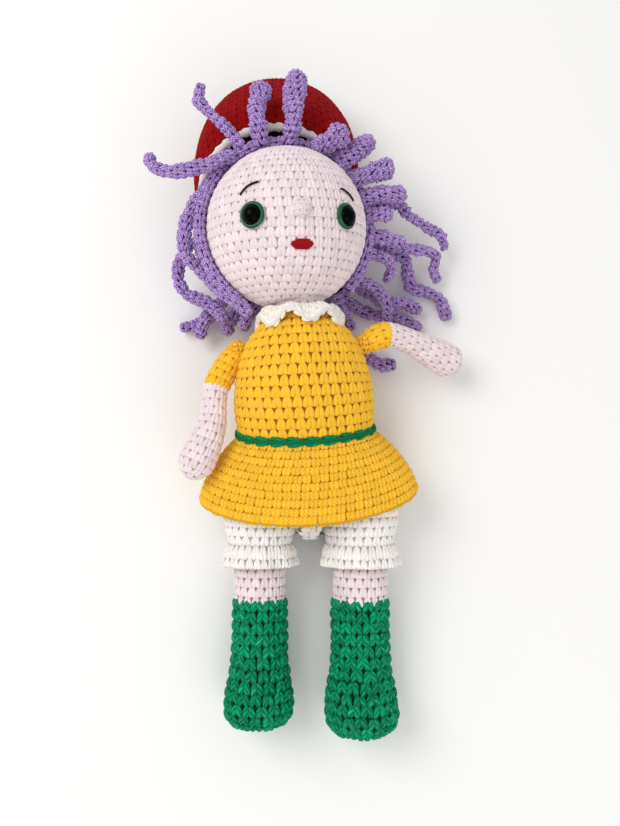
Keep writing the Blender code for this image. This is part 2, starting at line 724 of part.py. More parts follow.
def add_pelvis(hips, bodice_room):
    low, high = PELVIS_SHARES[0][0], PELVIS_SHARES[-1][0]
    knots = [s[0] for s in PELVIS_SHARES]
    count = 11
    rings = []
    for k in range(count + 1):
        share = low + (high - low) * k / count
        width = PELVIS_HALF_WIDTH * monotone(knots, [s[1] for s in PELVIS_SHARES], share)
        depth = HIP_RADIUS * monotone(knots, [s[2] for s in PELVIS_SHARES], share)
        lift = PELVIS_HEIGHT * monotone(knots, [s[3] for s in PELVIS_SHARES], share)
        lean = (WAIST_PLACE.x - HIP_PLACE.x) * max(share, 0.0)
        centre = Vector((lean, PELVIS_HEIGHT * share, lift))
        rings.append(ring(centre, Vector((1, 0, 0)), Vector((0, 0, 1)), width, depth, 28))
    pelvis = add("pelvis", skin_rings(rings), hips, yarn("pelvis", WHITE))
    cut(pelvis, bodice_room)
    for side, name in ((-1, "left"), (1, "right")):
        reach = PELVIS_HALF_WIDTH + CUTTER_OVERRUN - CROTCH_HALF_WIDTH
        bm = cylinder(HIP_RADIUS + GAP, reach, 40)
        bmesh.ops.rotate(bm, matrix=Matrix.Rotation(math.pi / 2, 3, "Y"), verts=bm.verts)
        bmesh.ops.translate(bm, vec=(side * (CROTCH_HALF_WIDTH + reach / 2), 0, 0), verts=bm.verts)
        cut(pelvis, add(name + "_hip_socket", bm, hips, cutter=True))
    return pelvis


def add_bloomer(name, hip, size):
    """A stuffed leg whose top is rounded about the hip's axis."""
    half_width = (LEG_SPACING - CROTCH_HALF_WIDTH - GAP) * min(size, 1.0)
    cuff = BLOOMER_CUFF_RADIUS * size
    rings = []
    for k in range(BLOOMER_TOP_STEPS + 1):
        angle = BLOOMER_TOP_ANGLE * (1 - k / BLOOMER_TOP_STEPS)
        width = half_width * (1 - BLOOMER_TOP_NARROWING_SHARE * math.sin(angle) ** 2)
        rings.append((HIP_RADIUS * math.sin(angle), width, HIP_RADIUS * math.cos(angle)))
    down, swell = BLOOMER_MIDDLE_SHARES
    rings.append((-BLOOMER_LENGTH * down, half_width * swell, HIP_RADIUS * swell))
    rings.append((-BLOOMER_LENGTH * BLOOMER_CUFF_START_SHARE, cuff, cuff))
    rings.append((-BLOOMER_LENGTH, cuff, cuff))
    across, front = Vector((1, 0, 0)), Vector((0, 0, 1))
    built = [ring(Vector((0, y, 0)), across, front, w, d, 24) for y, w, d in rings]
    return add(name + "_bloomer", skin_rings(built), hip, yarn(name + "_bloomer", WHITE))


def add_ruffle(name, hip, floor, size):
    sides, rows = RUFFLE_WAVES * 4, 2
    inner = BLOOMER_CUFF_RADIUS * size + GAP * 2
    outer = RUFFLE_RADIUS * size
    rings = []
    for row in range(rows + 1):
        share = row / rows
        points = []
        for i in range(sides):
            angle = 2 * math.pi * i / sides
            wave = RUFFLE_WAVE_HEIGHT * share * math.cos(RUFFLE_WAVES * angle)
            radius = inner + (outer - inner) * math.sin(share * math.pi / 2) + wave
            height = -BLOOMER_LENGTH + RUFFLE_OVERLAP - RUFFLE_LENGTH * share
            points.append(Vector((radius * math.cos(angle), height, radius * math.sin(angle))))
        rings.append(points)
    ruffle = add(name + "_ruffle", skin_rings(rings, False, False), hip,
                 yarn(name + "_ruffle", WHITE))
    thicken(ruffle, RUFFLE_THICKNESS, 1.0)
    cut(ruffle, floor)


def add_leg(name, hip, size):
    top = -BLOOMER_LENGTH - GAP
    end = top - LEG_LENGTH
    down = Route([(0, top, 0), (0, end - LEG_SEAT_DEPTH, 0)])
    seat = LEG_LENGTH / (LEG_LENGTH + LEG_SEAT_DEPTH)
    wide, narrow = LEG_RADIUS * size, LEG_SEAT_RADIUS * size
    sections = (
        (0.0, wide, wide),
        (seat * LEG_SEAT_START_SHARE, wide, wide),
        (seat, narrow, narrow),
        (1.0, narrow, narrow),
    )
    bm = swept(down, sections, Vector((1, 0, 0)), sides=24, steps=8)
    return add(name + "_leg", bm, hip, yarn(name + "_leg", SKIN))


def add_boot(name, hip, leg, floor, size):
    """A stuffed boot of level rings that swell forward into the foot, with a rounded sole."""
    top = -BLOOMER_LENGTH - LEG_LENGTH - GAP * 2
    radius, wide, long = BOOT_TOP_RADIUS, FOOT_HALF_WIDTH, FOOT_HALF_LENGTH
    table = [(s, radius * w, radius * d, radius * f) for s, w, d, f in BOOT_SHAFT_SHARES]
    table += [(s, wide * w, long * d, long * f) for s, w, d, f in BOOT_FOOT_SHARES]
    knots = [row[0] for row in table]
    straight = 9
    marks = [((1 - SOLE_SHARE) * k / straight, 1.0) for k in range(straight)]
    for k in range(SOLE_STEPS + 1):
        turn = math.pi / 2 * k / SOLE_STEPS
        shrink = SOLE_ROUND_SHARE * (1 - math.cos(turn))
        marks.append((1 - SOLE_SHARE * (1 - math.sin(turn)), 1 - shrink))
    rings = []
    for share, factor in marks:
        width, depth, forward = (
            size * monotone(knots, [row[i] for row in table], share) for i in (1, 2, 3)
        )
        centre = Vector((0, top - BOOT_HEIGHT * size * share, forward))
        rings.append(ring(centre, Vector((1, 0, 0)), Vector((0, 0, 1)), width * factor,
                          depth * factor, 20))
    boot = add(name + "_boot", skin_rings(rings), hip, yarn(name + "_boot", BOOT_GREEN))
    cut(boot, grown(leg))
    cut(boot, floor)
    return boot


# Arms

def add_arm(side, name, pivot, swing, shares, bodice):
    """A sewn knot at the shoulder, a sleeve and a forearm with its hand."""
    look = yarn(name + "_shoulder_knot", GOLDEN)
    knot = add(name + "_shoulder_knot", ball([SHOULDER_KNOT_RADIUS] * 3, 16, 10), pivot, look)
    room = grown(knot)
    cut(bodice, room)
    route = Route([Vector(p) * ARM_LENGTH for p in shares])
    sections = [(s, ARM_HALF_WIDTH * w, ARM_HALF_WIDTH * d) for s, w, d in ARM_SHARES]
    across = Vector((0, side, 0)) if abs(shares[-1][0]) > abs(shares[-1][1]) else Vector((1, 0, 0))
    edge = GAP / route.length
    cuff = ARM_CUFF_SHARES[name]
    upper = swept(route, sections, across, sides=18, steps=6,
                  span=(SLEEVE_START_SHARE, cuff), round_start=0.06, cap_steps=3)
    sleeve = add(name + "_sleeve", upper, swing, yarn(name + "_sleeve", GOLDEN))
    cut(sleeve, room)
    cut(sleeve, grown(bodice))
    lower = swept(route, sections, across, sides=18, steps=8, span=(cuff + edge, 1.0),
                  round_end=ARM_ROUND_SHARE)
    add(name + "_arm", lower, swing, yarn(name + "_arm", SKIN))


# Head, face and eyes

def add_head(head_frame):
    bm = ball([HEAD_RADIUS] * 3, HEAD_SEGMENTS, HEAD_RINGS)
    bmesh.ops.rotate(bm, matrix=Matrix.Rotation(math.pi / 2, 3, "X"), verts=bm.verts)
    return add("head", bm, head_frame, yarn("head", SKIN))


def face_frame(name, head_frame, azimuth, elevation):
    """An empty at the head's centre whose z axis points out through the face."""
    empty = bpy.data.objects.new(name, None)
    collection(PARTS).objects.link(empty)
    empty.parent = head_frame
    empty.rotation_mode = "XYZ"
    empty.rotation_euler = Euler((-elevation, azimuth, 0.0))
    bpy.context.view_layer.update()
    return empty


def dome(radius, height, count=5):
    """A profile from the top of a low dome down to its rim."""
    curve = (radius ** 2 + height ** 2) / (2 * height)
    span = math.asin(radius / curve)
    angles = [span * i / count for i in range(count + 1)]
    return [(curve * math.sin(a), height - curve * (1 - math.cos(a))) for a in angles]


def add_eye(name, side, head_frame, head):
    """A green disc with its stem, a black dome on it, and the washer inside the head."""
    at = face_frame(name + "_eye_frame", head_frame, side * EYE_ANGLE, EYE_ELEVATION)
    base = HEAD_RADIUS + GAP
    rim = base + EYE_FLANGE
    face = base + EYE_RISE
    seat = face - PUPIL_SEAT
    disc = [
        (0.0, seat),
        (PUPIL_RADIUS + GAP, seat),
        (PUPIL_RADIUS + GAP, face),
        (EYE_RADIUS, rim),
        (EYE_RADIUS, base),
        (EYE_STEM_RADIUS, base),
        (EYE_STEM_RADIUS, base - EYE_STEM_LENGTH),
        (0.0, base - EYE_STEM_LENGTH),
    ]
    turned(name + "_eye", disc, EYE_SEGMENTS, at, material(name + "_iris_plastic", IRIS_GREEN, 0.2))
    bottom = seat + GAP
    top = [(r, bottom + PUPIL_SEAT + h) for r, h in dome(PUPIL_RADIUS, PUPIL_RISE - PUPIL_SEAT)]
    pupil = top + [(PUPIL_RADIUS, bottom), (0.0, bottom)]
    turned(name + "_pupil", pupil, EYE_SEGMENTS, at, material(name + "_pupil_plastic", BLACK, 0.05))
    inner = EYE_STEM_RADIUS + GAP
    high = HEAD_RADIUS - WASHER_DEPTH
    low = high - WASHER_THICKNESS
    washer = [(inner, high), (WASHER_RADIUS, high), (WASHER_RADIUS, low), (inner, low)]
    turned(name + "_eye_washer", washer, EYE_SEGMENTS, at,
           material(name + "_washer_plastic", CLEAR_GREY, 0.4))
    room = [
        (0.0, base + CUTTER_OVERRUN),
        (inner, base + CUTTER_OVERRUN),
        (inner, high + GAP),
        (WASHER_RADIUS + GAP, high + GAP),
        (WASHER_RADIUS + GAP, low - GAP),
        (inner, low - GAP),
        (inner, base - EYE_STEM_LENGTH - GAP),
        (0.0, base - EYE_STEM_LENGTH - GAP),
    ]
    cut(head, turned(name + "_eye_room", room, EYE_SEGMENTS, at, cutter=True))


def add_nose(head_frame, head_room):
    at = face_frame("nose_frame", head_frame, 0.0, NOSE_ELEVATION)
    bm = ball([NOSE_RADIUS] * 3, 16, 10)
    height = HEAD_RADIUS - NOSE_RADIUS * NOSE_SUNK_SHARE
    bmesh.ops.translate(bm, vec=(0, 0, height), verts=bm.verts)
    cut(add("nose", bm, at, yarn("nose", NOSE_PINK)), head_room)


def add_mouth(head_frame, head_room):
    at = face_frame("mouth_frame", head_frame, 0.0, MOUTH_ELEVATION)
    bm = ball((MOUTH_HALF_WIDTH, MOUTH_HALF_HEIGHT, MOUTH_HALF_DEPTH), 16, 8)
    bmesh.ops.translate(bm, vec=(0, 0, HEAD_RADIUS + GAP), verts=bm.verts)
    cut(add("mouth", bm, at, yarn("mouth", LIP_RED)), head_room)


def add_brows(head_frame):
    for name, places in BROW_DEGREES.items():
        reach = HEAD_RADIUS + GAP + BROW_RADIUS
        points = []
        for azimuth, elevation in places:
            a, e = math.radians(azimuth), math.radians(elevation)
            out = Vector((math.sin(a) * math.cos(e), math.sin(e), math.cos(a) * math.cos(e)))
            points.append(out)
        line = [p.normalized() * reach for p in smooth_route(points, 4)]
        tube(name, line, [BROW_RADIUS] * len(line), head_frame, yarn(name, BLACK))


# Wig cap, curls and hat

def add_cap(head_frame, neck_pivot):
    """A shell behind the face with a rolled hairline, open at the nape."""
    inner = HEAD_RADIUS + CAP_GAP
    outer = inner + CAP_THICKNESS
    roll = inner + HAIRLINE_ROLL
    arc = [CAP_EDGE_ANGLE * i / 7 for i in range(8)]
    inside = [(inner * math.sin(a), -inner * math.cos(a)) for a in arc]
    outside = [(outer * math.sin(a), -outer * math.cos(a)) for a in reversed(arc)]
    bead = []
    for i in range(8):
        a = math.pi - CAP_ROLL_ANGLE * i / 7
        bead.append((roll + HAIRLINE_ROLL * math.cos(a), HAIRLINE_ROLL * math.sin(a)))
    cap = turned("wig_cap", inside + bead + outside, CAP_SEGMENTS, head_frame,
                 yarn("wig_cap", LILAC))
    bm = cylinder(NAPE_RADIUS, HEAD_RADIUS, 24)
    bmesh.ops.rotate(bm, matrix=Matrix.Rotation(math.pi / 2, 3, "X"), verts=bm.verts)
    cut(cap, add("nape_room", bm, neck_pivot, cutter=True))
    return cap


def add_curls(hair, head_frame):
    """Separate crocheted strips, each seated on the cap or on the rolled hairline."""
    scalp = HEAD_RADIUS + CAP_GAP + CAP_THICKNESS + SCALP_GAP
    scalp_room = add("scalp_room", ball([scalp] * 3, 40, 24), hair, cutter=True)
    roll = HEAD_RADIUS + CAP_GAP + HAIRLINE_ROLL
    count = 40
    points = []
    for i in range(count):
        angle = 2 * math.pi * i / count
        points.append(Vector((roll * math.cos(angle), roll * math.sin(angle), 0)))
    rings = []
    for i, centre in enumerate(points):
        out = centre.normalized()
        reach = HAIRLINE_ROLL + HAIRLINE_GAP
        rings.append(ring(centre, out, Vector((0, 0, 1)), reach, reach, 12))
    hairline_room = add("hairline_room", closed_loop(rings), head_frame, cutter=True)
    for name, (root_share, tip_share, shares) in CURL_SHARES.items():
        root, tip = CURL_RADIUS * root_share, CURL_RADIUS * tip_share
        route = Route([Vector(p) * HEAD_RADIUS for p in shares])
        count = max(5, round(route.length / CURL_POINT_SPACING) + 1)
        places = [route.at(i / (count - 1)) for i in range(count)]
        radii = [root + (tip - root) * i / (count - 1) for i in range(count)]
        radii[-1] = tip * CURL_TIP_SHARE
        curl = tube(name, places, radii, hair, yarn(name, LILAC))
        cut(curl, scalp_room)
        cut(curl, hairline_room)


def closed_loop(rings):
    """A solid of rings whose last joins its first."""
    bm = bmesh.new()
    made = [[bm.verts.new(p) for p in one] for one in rings]
    for low, high in zip(made, made[1:] + made[:1]):
        for i in range(len(low)):
            j = (i + 1) % len(low)
            bm.faces.new((low[i], low[j], high[j], high[i]))
    return bm


def hat_ring(back_y, front_y, front_z, half_width):
    """The centre, upward direction and half sizes of one ring of the hat."""
    floor_z = -head_place().z - FLOOR_CUT
    back = Vector((HAT_OFFSET_X, HAT_RADIUS * back_y, floor_z))
    front = Vector((HAT_OFFSET_X, HAT_RADIUS * front_y, HAT_RADIUS * front_z))
    up = (front - back).normalized()
    return (back + front) / 2, up, HAT_RADIUS * half_width, (front - back).length / 2


def add_hat(hat, floor, cap):
    across = Vector((1, 0, 0))
    rows = 8
    keys = [i / (len(HAT_SHARES) - 1) for i in range(len(HAT_SHARES))]
    rings = []
    for k in range(rows + 1):
        share = k / rows
        values = [monotone(keys, [s[i] for s in HAT_SHARES], share) for i in range(4)]
        centre, up, width, depth = hat_ring(*values)
        rings.append(ring(centre, across, up, width, depth, 32, BACK_FLATNESS))
    tip_z = -head_place().z + HAT_CROWN_LIFT
    rings.append([Vector((HAT_OFFSET_X, HAT_RADIUS * HAT_CROWN_SHARE, tip_z))])
    crown = add("hat", skin_rings(rings, False, False), hat, yarn("hat", HAT_RED))
    thicken(crown, HAT_THICKNESS, -1.0)
    cut(crown, floor)
    rim, inner = rings[0], rings[1]
    middle = sum(rim, Vector()) / len(rim)
    points = []
    lowest = -head_place().z + HAT_BAND_RADIUS + GAP
    for k, place in enumerate(rim):
        along = (rim[(k + 1) % len(rim)] - rim[k - 1]).normalized()
        out = place - inner[k]
        out = (out - along * out.dot(along)).normalized()
        inward = along.cross(out)
        if inward.dot(middle - place) < 0:
            inward = -inward
        point = place + inward * (HAT_THICKNESS / 2) + out * (HAT_BAND_RADIUS + GAP)
        points.append(Vector((point.x, point.y, max(point.z, lowest))))
    radii = [HAT_BAND_RADIUS] * len(points)
    band = tube("hat_band", points, radii, hat, yarn("hat_band", CREAM), True)
    cut(band, grown(cap))


# The whole doll

def centre_over_origin(root):
    """Moves the doll so that the middle of its box stands over the origin."""
    bpy.context.view_layer.update()
    graph = bpy.context.evaluated_depsgraph_get()
    corners = []
    for piece in collection(PARTS).objects:
        if piece.type == "MESH":
            shape = piece.evaluated_get(graph)
            corners += [piece.matrix_world @ v.co for v in shape.data.vertices]
    for axis in (0, 1):
        values = [c[axis] for c in corners]
        root.location[axis] -= (min(values) + max(values)) / 2
    bpy.context.view_layer.update()


def main():
    clear_scene()
    root = frame("doll", (0, 0, 0))
    floor = add_floor(root)
    pitch_and_lean = (TORSO_PITCH, 0.0, TORSO_LEAN)
    torso = frame("torso_frame", WAIST_PLACE, pitch_and_lean, parent=root)
    hang = frame("skirt_frame", WAIST_PLACE, (0.0, 0.0, TORSO_LEAN), parent=root)
    neck_place = torso_point(0, BODICE_HEIGHT, 0)
    towards_head = Vector((0, 1, 0)).rotation_difference(head_place() - neck_place).to_euler()
    neck_pivot = frame("neck_pivot", neck_place, towards_head, parent=torso)
    head_pivot = frame("head_pivot", head_place(), parent=neck_pivot)
    head_frame = frame("head_frame", head_place(), (TORSO_PITCH, HEAD_TURN, HEAD_ROLL), "YXZ",
                       head_pivot)
    hat_pivot = frame("hat_pivot", head_place(), parent=head_pivot)

    bodice = add_bodice(torso)
    bodice_room = grown(bodice)
    head = add_head(head_frame)
    head_room = grown(head)
    add_neck(neck_pivot, bodice, head, head_room)
    add_collar(torso, head_room)
    skirt = add_skirt(hang, floor, bodice_room)
    add_belt(torso, bodice, skirt, floor)

    hips = frame("hips", HIP_PLACE, parent=root)
    add_pelvis(hips, bodice_room)
    for side, name in ((-1, "left"), (1, "right")):
        place = HIP_PLACE + Vector((side * LEG_SPACING, 0, 0))
        hip = frame(name + "_hip", place, (LEG_PITCH, 0.0, 0.0), parent=hips)
        add_bloomer(name, hip, LEG_SIZES[name])
        add_ruffle(name, hip, floor, LEG_SIZES[name])
        leg = add_leg(name, hip, LEG_SIZES[name])
        add_boot(name, hip, leg, floor, LEG_SIZES[name])

    arms = ((-1, "left", LEFT_ARM_ROUTE_SHARES), (1, "right", RIGHT_ARM_ROUTE_SHARES))
    for side, name, shares in arms:
        place = torso_point(side * SHOULDER_HALF_WIDTH, SHOULDER_HEIGHT, 0)
        pivot = frame(name + "_shoulder", place, parent=torso)
        swing = frame(name + "_arm_swing", place, parent=pivot)
        add_arm(side, name, pivot, swing, shares, bodice)

    for side, name in ((-1, "left"), (1, "right")):
        add_eye(name, side, head_frame, head)
    add_nose(head_frame, head_room)
    add_mouth(head_frame, head_room)
    add_brows(head_frame)
    cap = add_cap(head_frame, neck_pivot)
    add_curls(head_pivot, head_frame)
    add_hat(hat_pivot, floor, cap)
    centre_over_origin(root)


main()
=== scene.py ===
"""The looks of a crocheted doll: each visible piece is worked stitch by stitch over its solid."""

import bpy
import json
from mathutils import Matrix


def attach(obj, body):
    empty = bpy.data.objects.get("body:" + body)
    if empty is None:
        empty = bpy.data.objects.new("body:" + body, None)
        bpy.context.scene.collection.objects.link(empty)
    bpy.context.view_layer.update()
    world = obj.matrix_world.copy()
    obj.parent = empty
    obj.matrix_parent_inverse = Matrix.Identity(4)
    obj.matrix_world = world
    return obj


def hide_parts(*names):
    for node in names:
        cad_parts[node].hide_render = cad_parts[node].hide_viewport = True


bl_info = {
    "name": "Crocheted doll",
    "version": (1, 0, 0),
    "blender": (4, 5, 0),
    "location": "View3D > Sidebar > Doll",
    "description": "Works the stitches, curls and eyes of a crocheted doll over its solids",
    "category": "Object",
}

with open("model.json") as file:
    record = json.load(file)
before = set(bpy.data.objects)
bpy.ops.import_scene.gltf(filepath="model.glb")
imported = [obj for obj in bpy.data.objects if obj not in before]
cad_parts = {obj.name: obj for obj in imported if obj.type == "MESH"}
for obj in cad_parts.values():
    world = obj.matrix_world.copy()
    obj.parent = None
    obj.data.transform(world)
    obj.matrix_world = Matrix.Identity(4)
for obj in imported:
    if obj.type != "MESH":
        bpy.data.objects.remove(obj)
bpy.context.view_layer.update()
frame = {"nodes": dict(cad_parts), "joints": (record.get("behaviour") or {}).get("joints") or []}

import json
import math

import bpy
import numpy as np
from bpy.props import FloatProperty, FloatVectorProperty, IntProperty, PointerProperty
from bpy.types import Operator, Panel, PropertyGroup
from mathutils import Euler, Matrix, Vector

MM = 0.001
LOWEST = 1.0 * MM
FLOOR_REACH = 3.0
FLOOR_DEPTH = 0.2 * MM

# The photograph's camera, and a plain soft light: each lamp's place, width and watts
FOCAL_PIXELS = 800.0
PHOTO_HEIGHT = 826.0
SENSOR_HEIGHT = 24.0
CAMERA_PLACE = Vector((0.0, -0.05898, 0.37608))
CAMERA_TILT = math.radians(9.54)
LAMPS = {"window": ((-0.55, 0.25, 0.85), 0.7, 4.8), "fill": ((0.3, -0.75, 0.7), 0.9, 2.6)}
ROOM_LIGHT = 0.68

# Where the doll lies in the frame, as in the solids
TORSO_PITCH = math.radians(11.0)
TORSO_LEAN = math.radians(3.0)
HEAD_TURN = math.radians(12.0)
HEAD_ROLL = math.radians(2.0)
LEG_PITCH = math.radians(5.4)
WAIST_PLACE = Vector((-2.0, -8.0, 25.0)) * MM
WAIST_TILT = math.radians(8.0)
HIP_PLACE = Vector((0.0, -40.0, 20.0)) * MM
WAIST_ASIDE = WAIST_PLACE.x - HIP_PLACE.x
FLOOR_CUT = 0.5 * MM
GAP = 0.3 * MM
BACK_FLATNESS = 0.7

HEAD_RADIUS = 35.0 * MM
HEAD_OFFSET_X = -3.9 * MM
HEAD_OFFSET_Z = -1.6 * MM
NECK_SHOWN = 2.5 * MM
NECK_SUNK_MM = 5.0
NECK_TOP_SHARE = 0.75

BODICE_HEIGHT = 52.0 * MM
BODICE_HALF_WIDTH = 30.6 * MM
BODICE_HALF_DEPTH = 24.3 * MM
BODICE_ROUTE_SHARES = ((0.0, 0.0), (0.25, 0.75), (0.5, 1.0), (1.0, 0.0))
BODICE_SHARES = (
    (0.00, 0.965, 0.98),
    (0.10, 0.99, 1.00),
    (0.28, 1.00, 1.00),
    (0.54, 0.925, 0.95),
    (0.74, 0.80, 0.84),
    (0.88, 0.63, 0.69),
    (1.00, 0.47, 0.54),
)
NECK_RADIUS = 11.5 * MM
COLLAR_RADIUS = 19.3 * MM
COLLAR_INNER_SHARE = 0.68
COLLAR_THICKNESS = 2.0 * MM
COLLAR_WAVES = 7
COLLAR_WAVE_HEIGHT = 2.7 * MM
COLLAR_DROOP = 4.0 * MM
COLLAR_SIDE_DROOP = 3.5 * MM
COLLAR_GAP = 1.5 * MM
COLLAR_STITCH = 3.4 * MM
COLLAR_ROW = 3.3 * MM
COLLAR_LINK = 4.4 * MM
COLLAR_CHAIN_WIDTH = 3.8 * MM
BELT_RADIUS = 1.8 * MM
BELT_PROUD_SHARE = 0.55
BELT_POINTS = 72
BELT_LINK = 7.5 * MM
BELT_WIDTH = 4.7 * MM

SKIRT_LENGTH = 34.0 * MM
SKIRT_THICKNESS = 2.4 * MM
HEM_HALF_WIDTH = 48.0 * MM
HEM_FRONT_DROP = 3.6 * MM
SKIRT_FLARE_TURN_SHARE = 0.84
SKIRT_STEPS = 7
HEM_LINK = 6.0 * MM
HEM_CHAIN_WIDTH = 4.2 * MM
HEM_CHAIN_DOWN = 0.9

PELVIS_HEIGHT = 36.0 * MM
PELVIS_HALF_WIDTH = 36.5 * MM
PELVIS_SHARES = (
    (-0.40, 0.12, 0.30, 0.00),
    (-0.30, 0.45, 0.66, 0.00),
    (-0.16, 0.82, 0.87, 0.00),
    (0.00, 0.96, 0.96, 0.00),
    (0.25, 0.93, 1.00, 0.03),
    (0.60, 0.75, 1.05, 0.12),
    (1.00, 0.64, 1.08, 0.14),
)
HIP_RADIUS = 16.3 * MM
LEG_SPACING = 22.0 * MM
LEG_SIZES = {"left": 0.96, "right": 1.02}
CROTCH_HALF_WIDTH = 4.6 * MM
SEAT_BULGE = 1.2 * MM
SOCKET_SHARE = 0.93
SOCKET_SUNK = 1.2 * MM
SEAT_STITCH_SHARE = 1.1
BLOOMER_LENGTH = 22.0 * MM
BLOOMER_CUFF_RADIUS = 14.4 * MM
BLOOMER_TOP_ANGLE = math.radians(78.0)
BLOOMER_NARROWING = 0.12
BLOOMER_FULLNESS = 0.96
BLOOMER_FULL_SHARE = 0.4
BLOOMER_GATHER_SHARE = 0.74
BLOOMER_ROW_SHARE = 1.12
RUFFLE_RADIUS = 15.4 * MM
RUFFLE_LENGTH = 9.0 * MM
RUFFLE_OVERLAP = 5.0 * MM
RUFFLE_THICKNESS = 1.8 * MM
RUFFLE_WAVES = 9
RUFFLE_WAVE_HEIGHT = 0.7 * MM
RUFFLE_STEPS = 9
RUFFLE_STITCH = 3.4 * MM
RUFFLE_ROW = 5.2 * MM
RUFFLE_LINING_STITCH = 3.6 * MM
RUFFLE_LINING_ROW = 3.9 * MM
LEG_RADIUS = 11.6 * MM
LEG_LENGTH = 18.0 * MM
LEG_SEAT_DEPTH = 3.0 * MM
LEG_HIDDEN = 3.0 * MM
LEG_ROW_SHARE = 1.05

BOOT_HEIGHT = 54.0 * MM
BOOT_TOP_RADIUS = 12.4 * MM
FOOT_HALF_WIDTH = 15.6 * MM
FOOT_HALF_LENGTH = 18.0 * MM
BOOT_SHAFT_SHARES = ((0.00, 1.00, 1.00, 0.00), (0.28, 1.02, 1.01, 0.00), (0.48, 1.05, 1.04, 0.01))
BOOT_FOOT_SHARES = (
    (0.64, 0.90, 0.79, 0.09),
    (0.78, 0.98, 0.94, 0.27),
    (0.88, 1.00, 1.00, 0.36),
    (1.00, 0.96, 0.97, 0.37),
)
SOLE_SHARE = 0.14
SOLE_ROUND_SHARE = 0.32

SHOULDER_HEIGHT = 37.0 * MM
SHOULDER_HALF_WIDTH = 28.2 * MM
SHOULDER_KNOT_RADIUS = 4.3 * MM
KNOT_STITCH = 2.9 * MM
ARM_LENGTH = 61.0 * MM
ARM_HALF_WIDTH = 7.8 * MM
ARM_CUFF_SHARES = {"left": 0.32, "right": 0.22}
SLEEVE_ROUND_SHARE = 0.06
SLEEVE_OVERLAP_SHARE = 0.02
SLEEVE_EASE = 0.3 * MM
ARM_ROUND_SHARE = 0.14
ARM_SHARES = (
    (0.00, 0.55, 0.46),
    (0.10, 0.66, 0.55),
    (0.22, 0.70, 0.66),
    (0.33, 0.66, 0.65),
    (0.45, 0.69, 0.70),
    (0.62, 0.82, 0.82),
    (0.80, 0.96, 0.93),
    (0.90, 1.00, 0.97),
    (1.00, 0.98, 0.94),
)
ARM_ROUTE_SHARES = {
    "left": ((0.0, 0.0, 0.0), (-0.14, -0.27, 0.03), (-0.175, -0.58, 0.06), (-0.315, -0.93, 0.09)),
    "right": ((0.0, 0.0, 0.0), (0.22, 0.07, -0.03), (0.73, -0.09, -0.33)),
}

EYE_RADIUS = 5.5 * MM
EYE_FLANGE = 0.7 * MM
EYE_RISE = 1.5 * MM
PUPIL_RADIUS = 4.2 * MM
PUPIL_RISE = 3.0 * MM
EYE_STEM_RADIUS = 2.0 * MM
EYE_STEM_LENGTH = 12.0 * MM
PUPIL_EASE = 0.1 * MM
PUPIL_SUNK = 0.2 * MM
DOME_STEPS = 14
DOME_START = 0.15
REVOLVED_SEGMENTS = 64
EYE_ANGLE = math.radians(33.2)
EYE_ELEVATION = math.radians(-0.9)
NOSE_RADIUS = 4.2 * MM
NOSE_ELEVATION = math.radians(2.0)
NOSE_SUNK_SHARE = 0.25
NOSE_STITCH = 2.7 * MM
NOSE_ROW = 2.6 * MM
MOUTH_HALF_WIDTH = 5.4 * MM
MOUTH_HALF_HEIGHT = 2.0 * MM
MOUTH_ELEVATION = math.radians(-20.9)
MOUTH_THREADS = 5
MOUTH_THREAD_RADIUS = 0.62 * MM
BROW_RADIUS = 0.5 * MM
BROW_END_SUNK = 1.4 * MM
BROW_DEGREES = {
    "left_brow": ((-43.0, 13.5), (-37.5, 19.0), (-29.5, 21.5)),
    "right_brow": ((32.0, 18.0), (38.0, 15.5), (43.5, 11.0)),
}

CAP_THICKNESS = 1.7 * MM
CAP_GAP = 0.75 * MM
HAIRLINE_ROLL = 2.4 * MM
CAP_EDGE_ANGLE = math.radians(83.0)
CAP_COVER = math.radians(10.0)
NAPE_RADIUS = 23.5 * MM
CAP_ROW = 3.9 * MM
ROLL_STITCH = 3.9 * MM
ROLL_ROW = 3.2 * MM

HAT_RADIUS = 40.0 * MM
HAT_OFFSET_X = -5.4 * MM
HAT_THICKNESS = 2.2 * MM
HAT_BAND_RADIUS = 1.3 * MM
HAT_BAND_LINK = 5.0 * MM
HAT_BAND_WIDTH = 4.4 * MM
HAT_SHARES = (
    (-0.10, 1.19, 0.15, 0.915),
    (0.20, 1.43, 0.10, 0.965),
    (0.60, 1.72, -0.06, 0.94),
    (1.10, 1.98, -0.27, 0.80),
    (1.55, 2.11, -0.49, 0.57),
    (1.87, 2.175, -0.68, 0.31),
)
HAT_CROWN_SHARE = 2.18
HAT_CROWN_LIFT = 8.0 * MM

CURL_RADIUS = 4.0 * MM
CURL_SQUASH = (1.1, 0.9)
CURL_SWELL = 0.07
CURL_SWELLS_PER_MM = 0.75
CURL_TWIST_PER_MM = 0.13

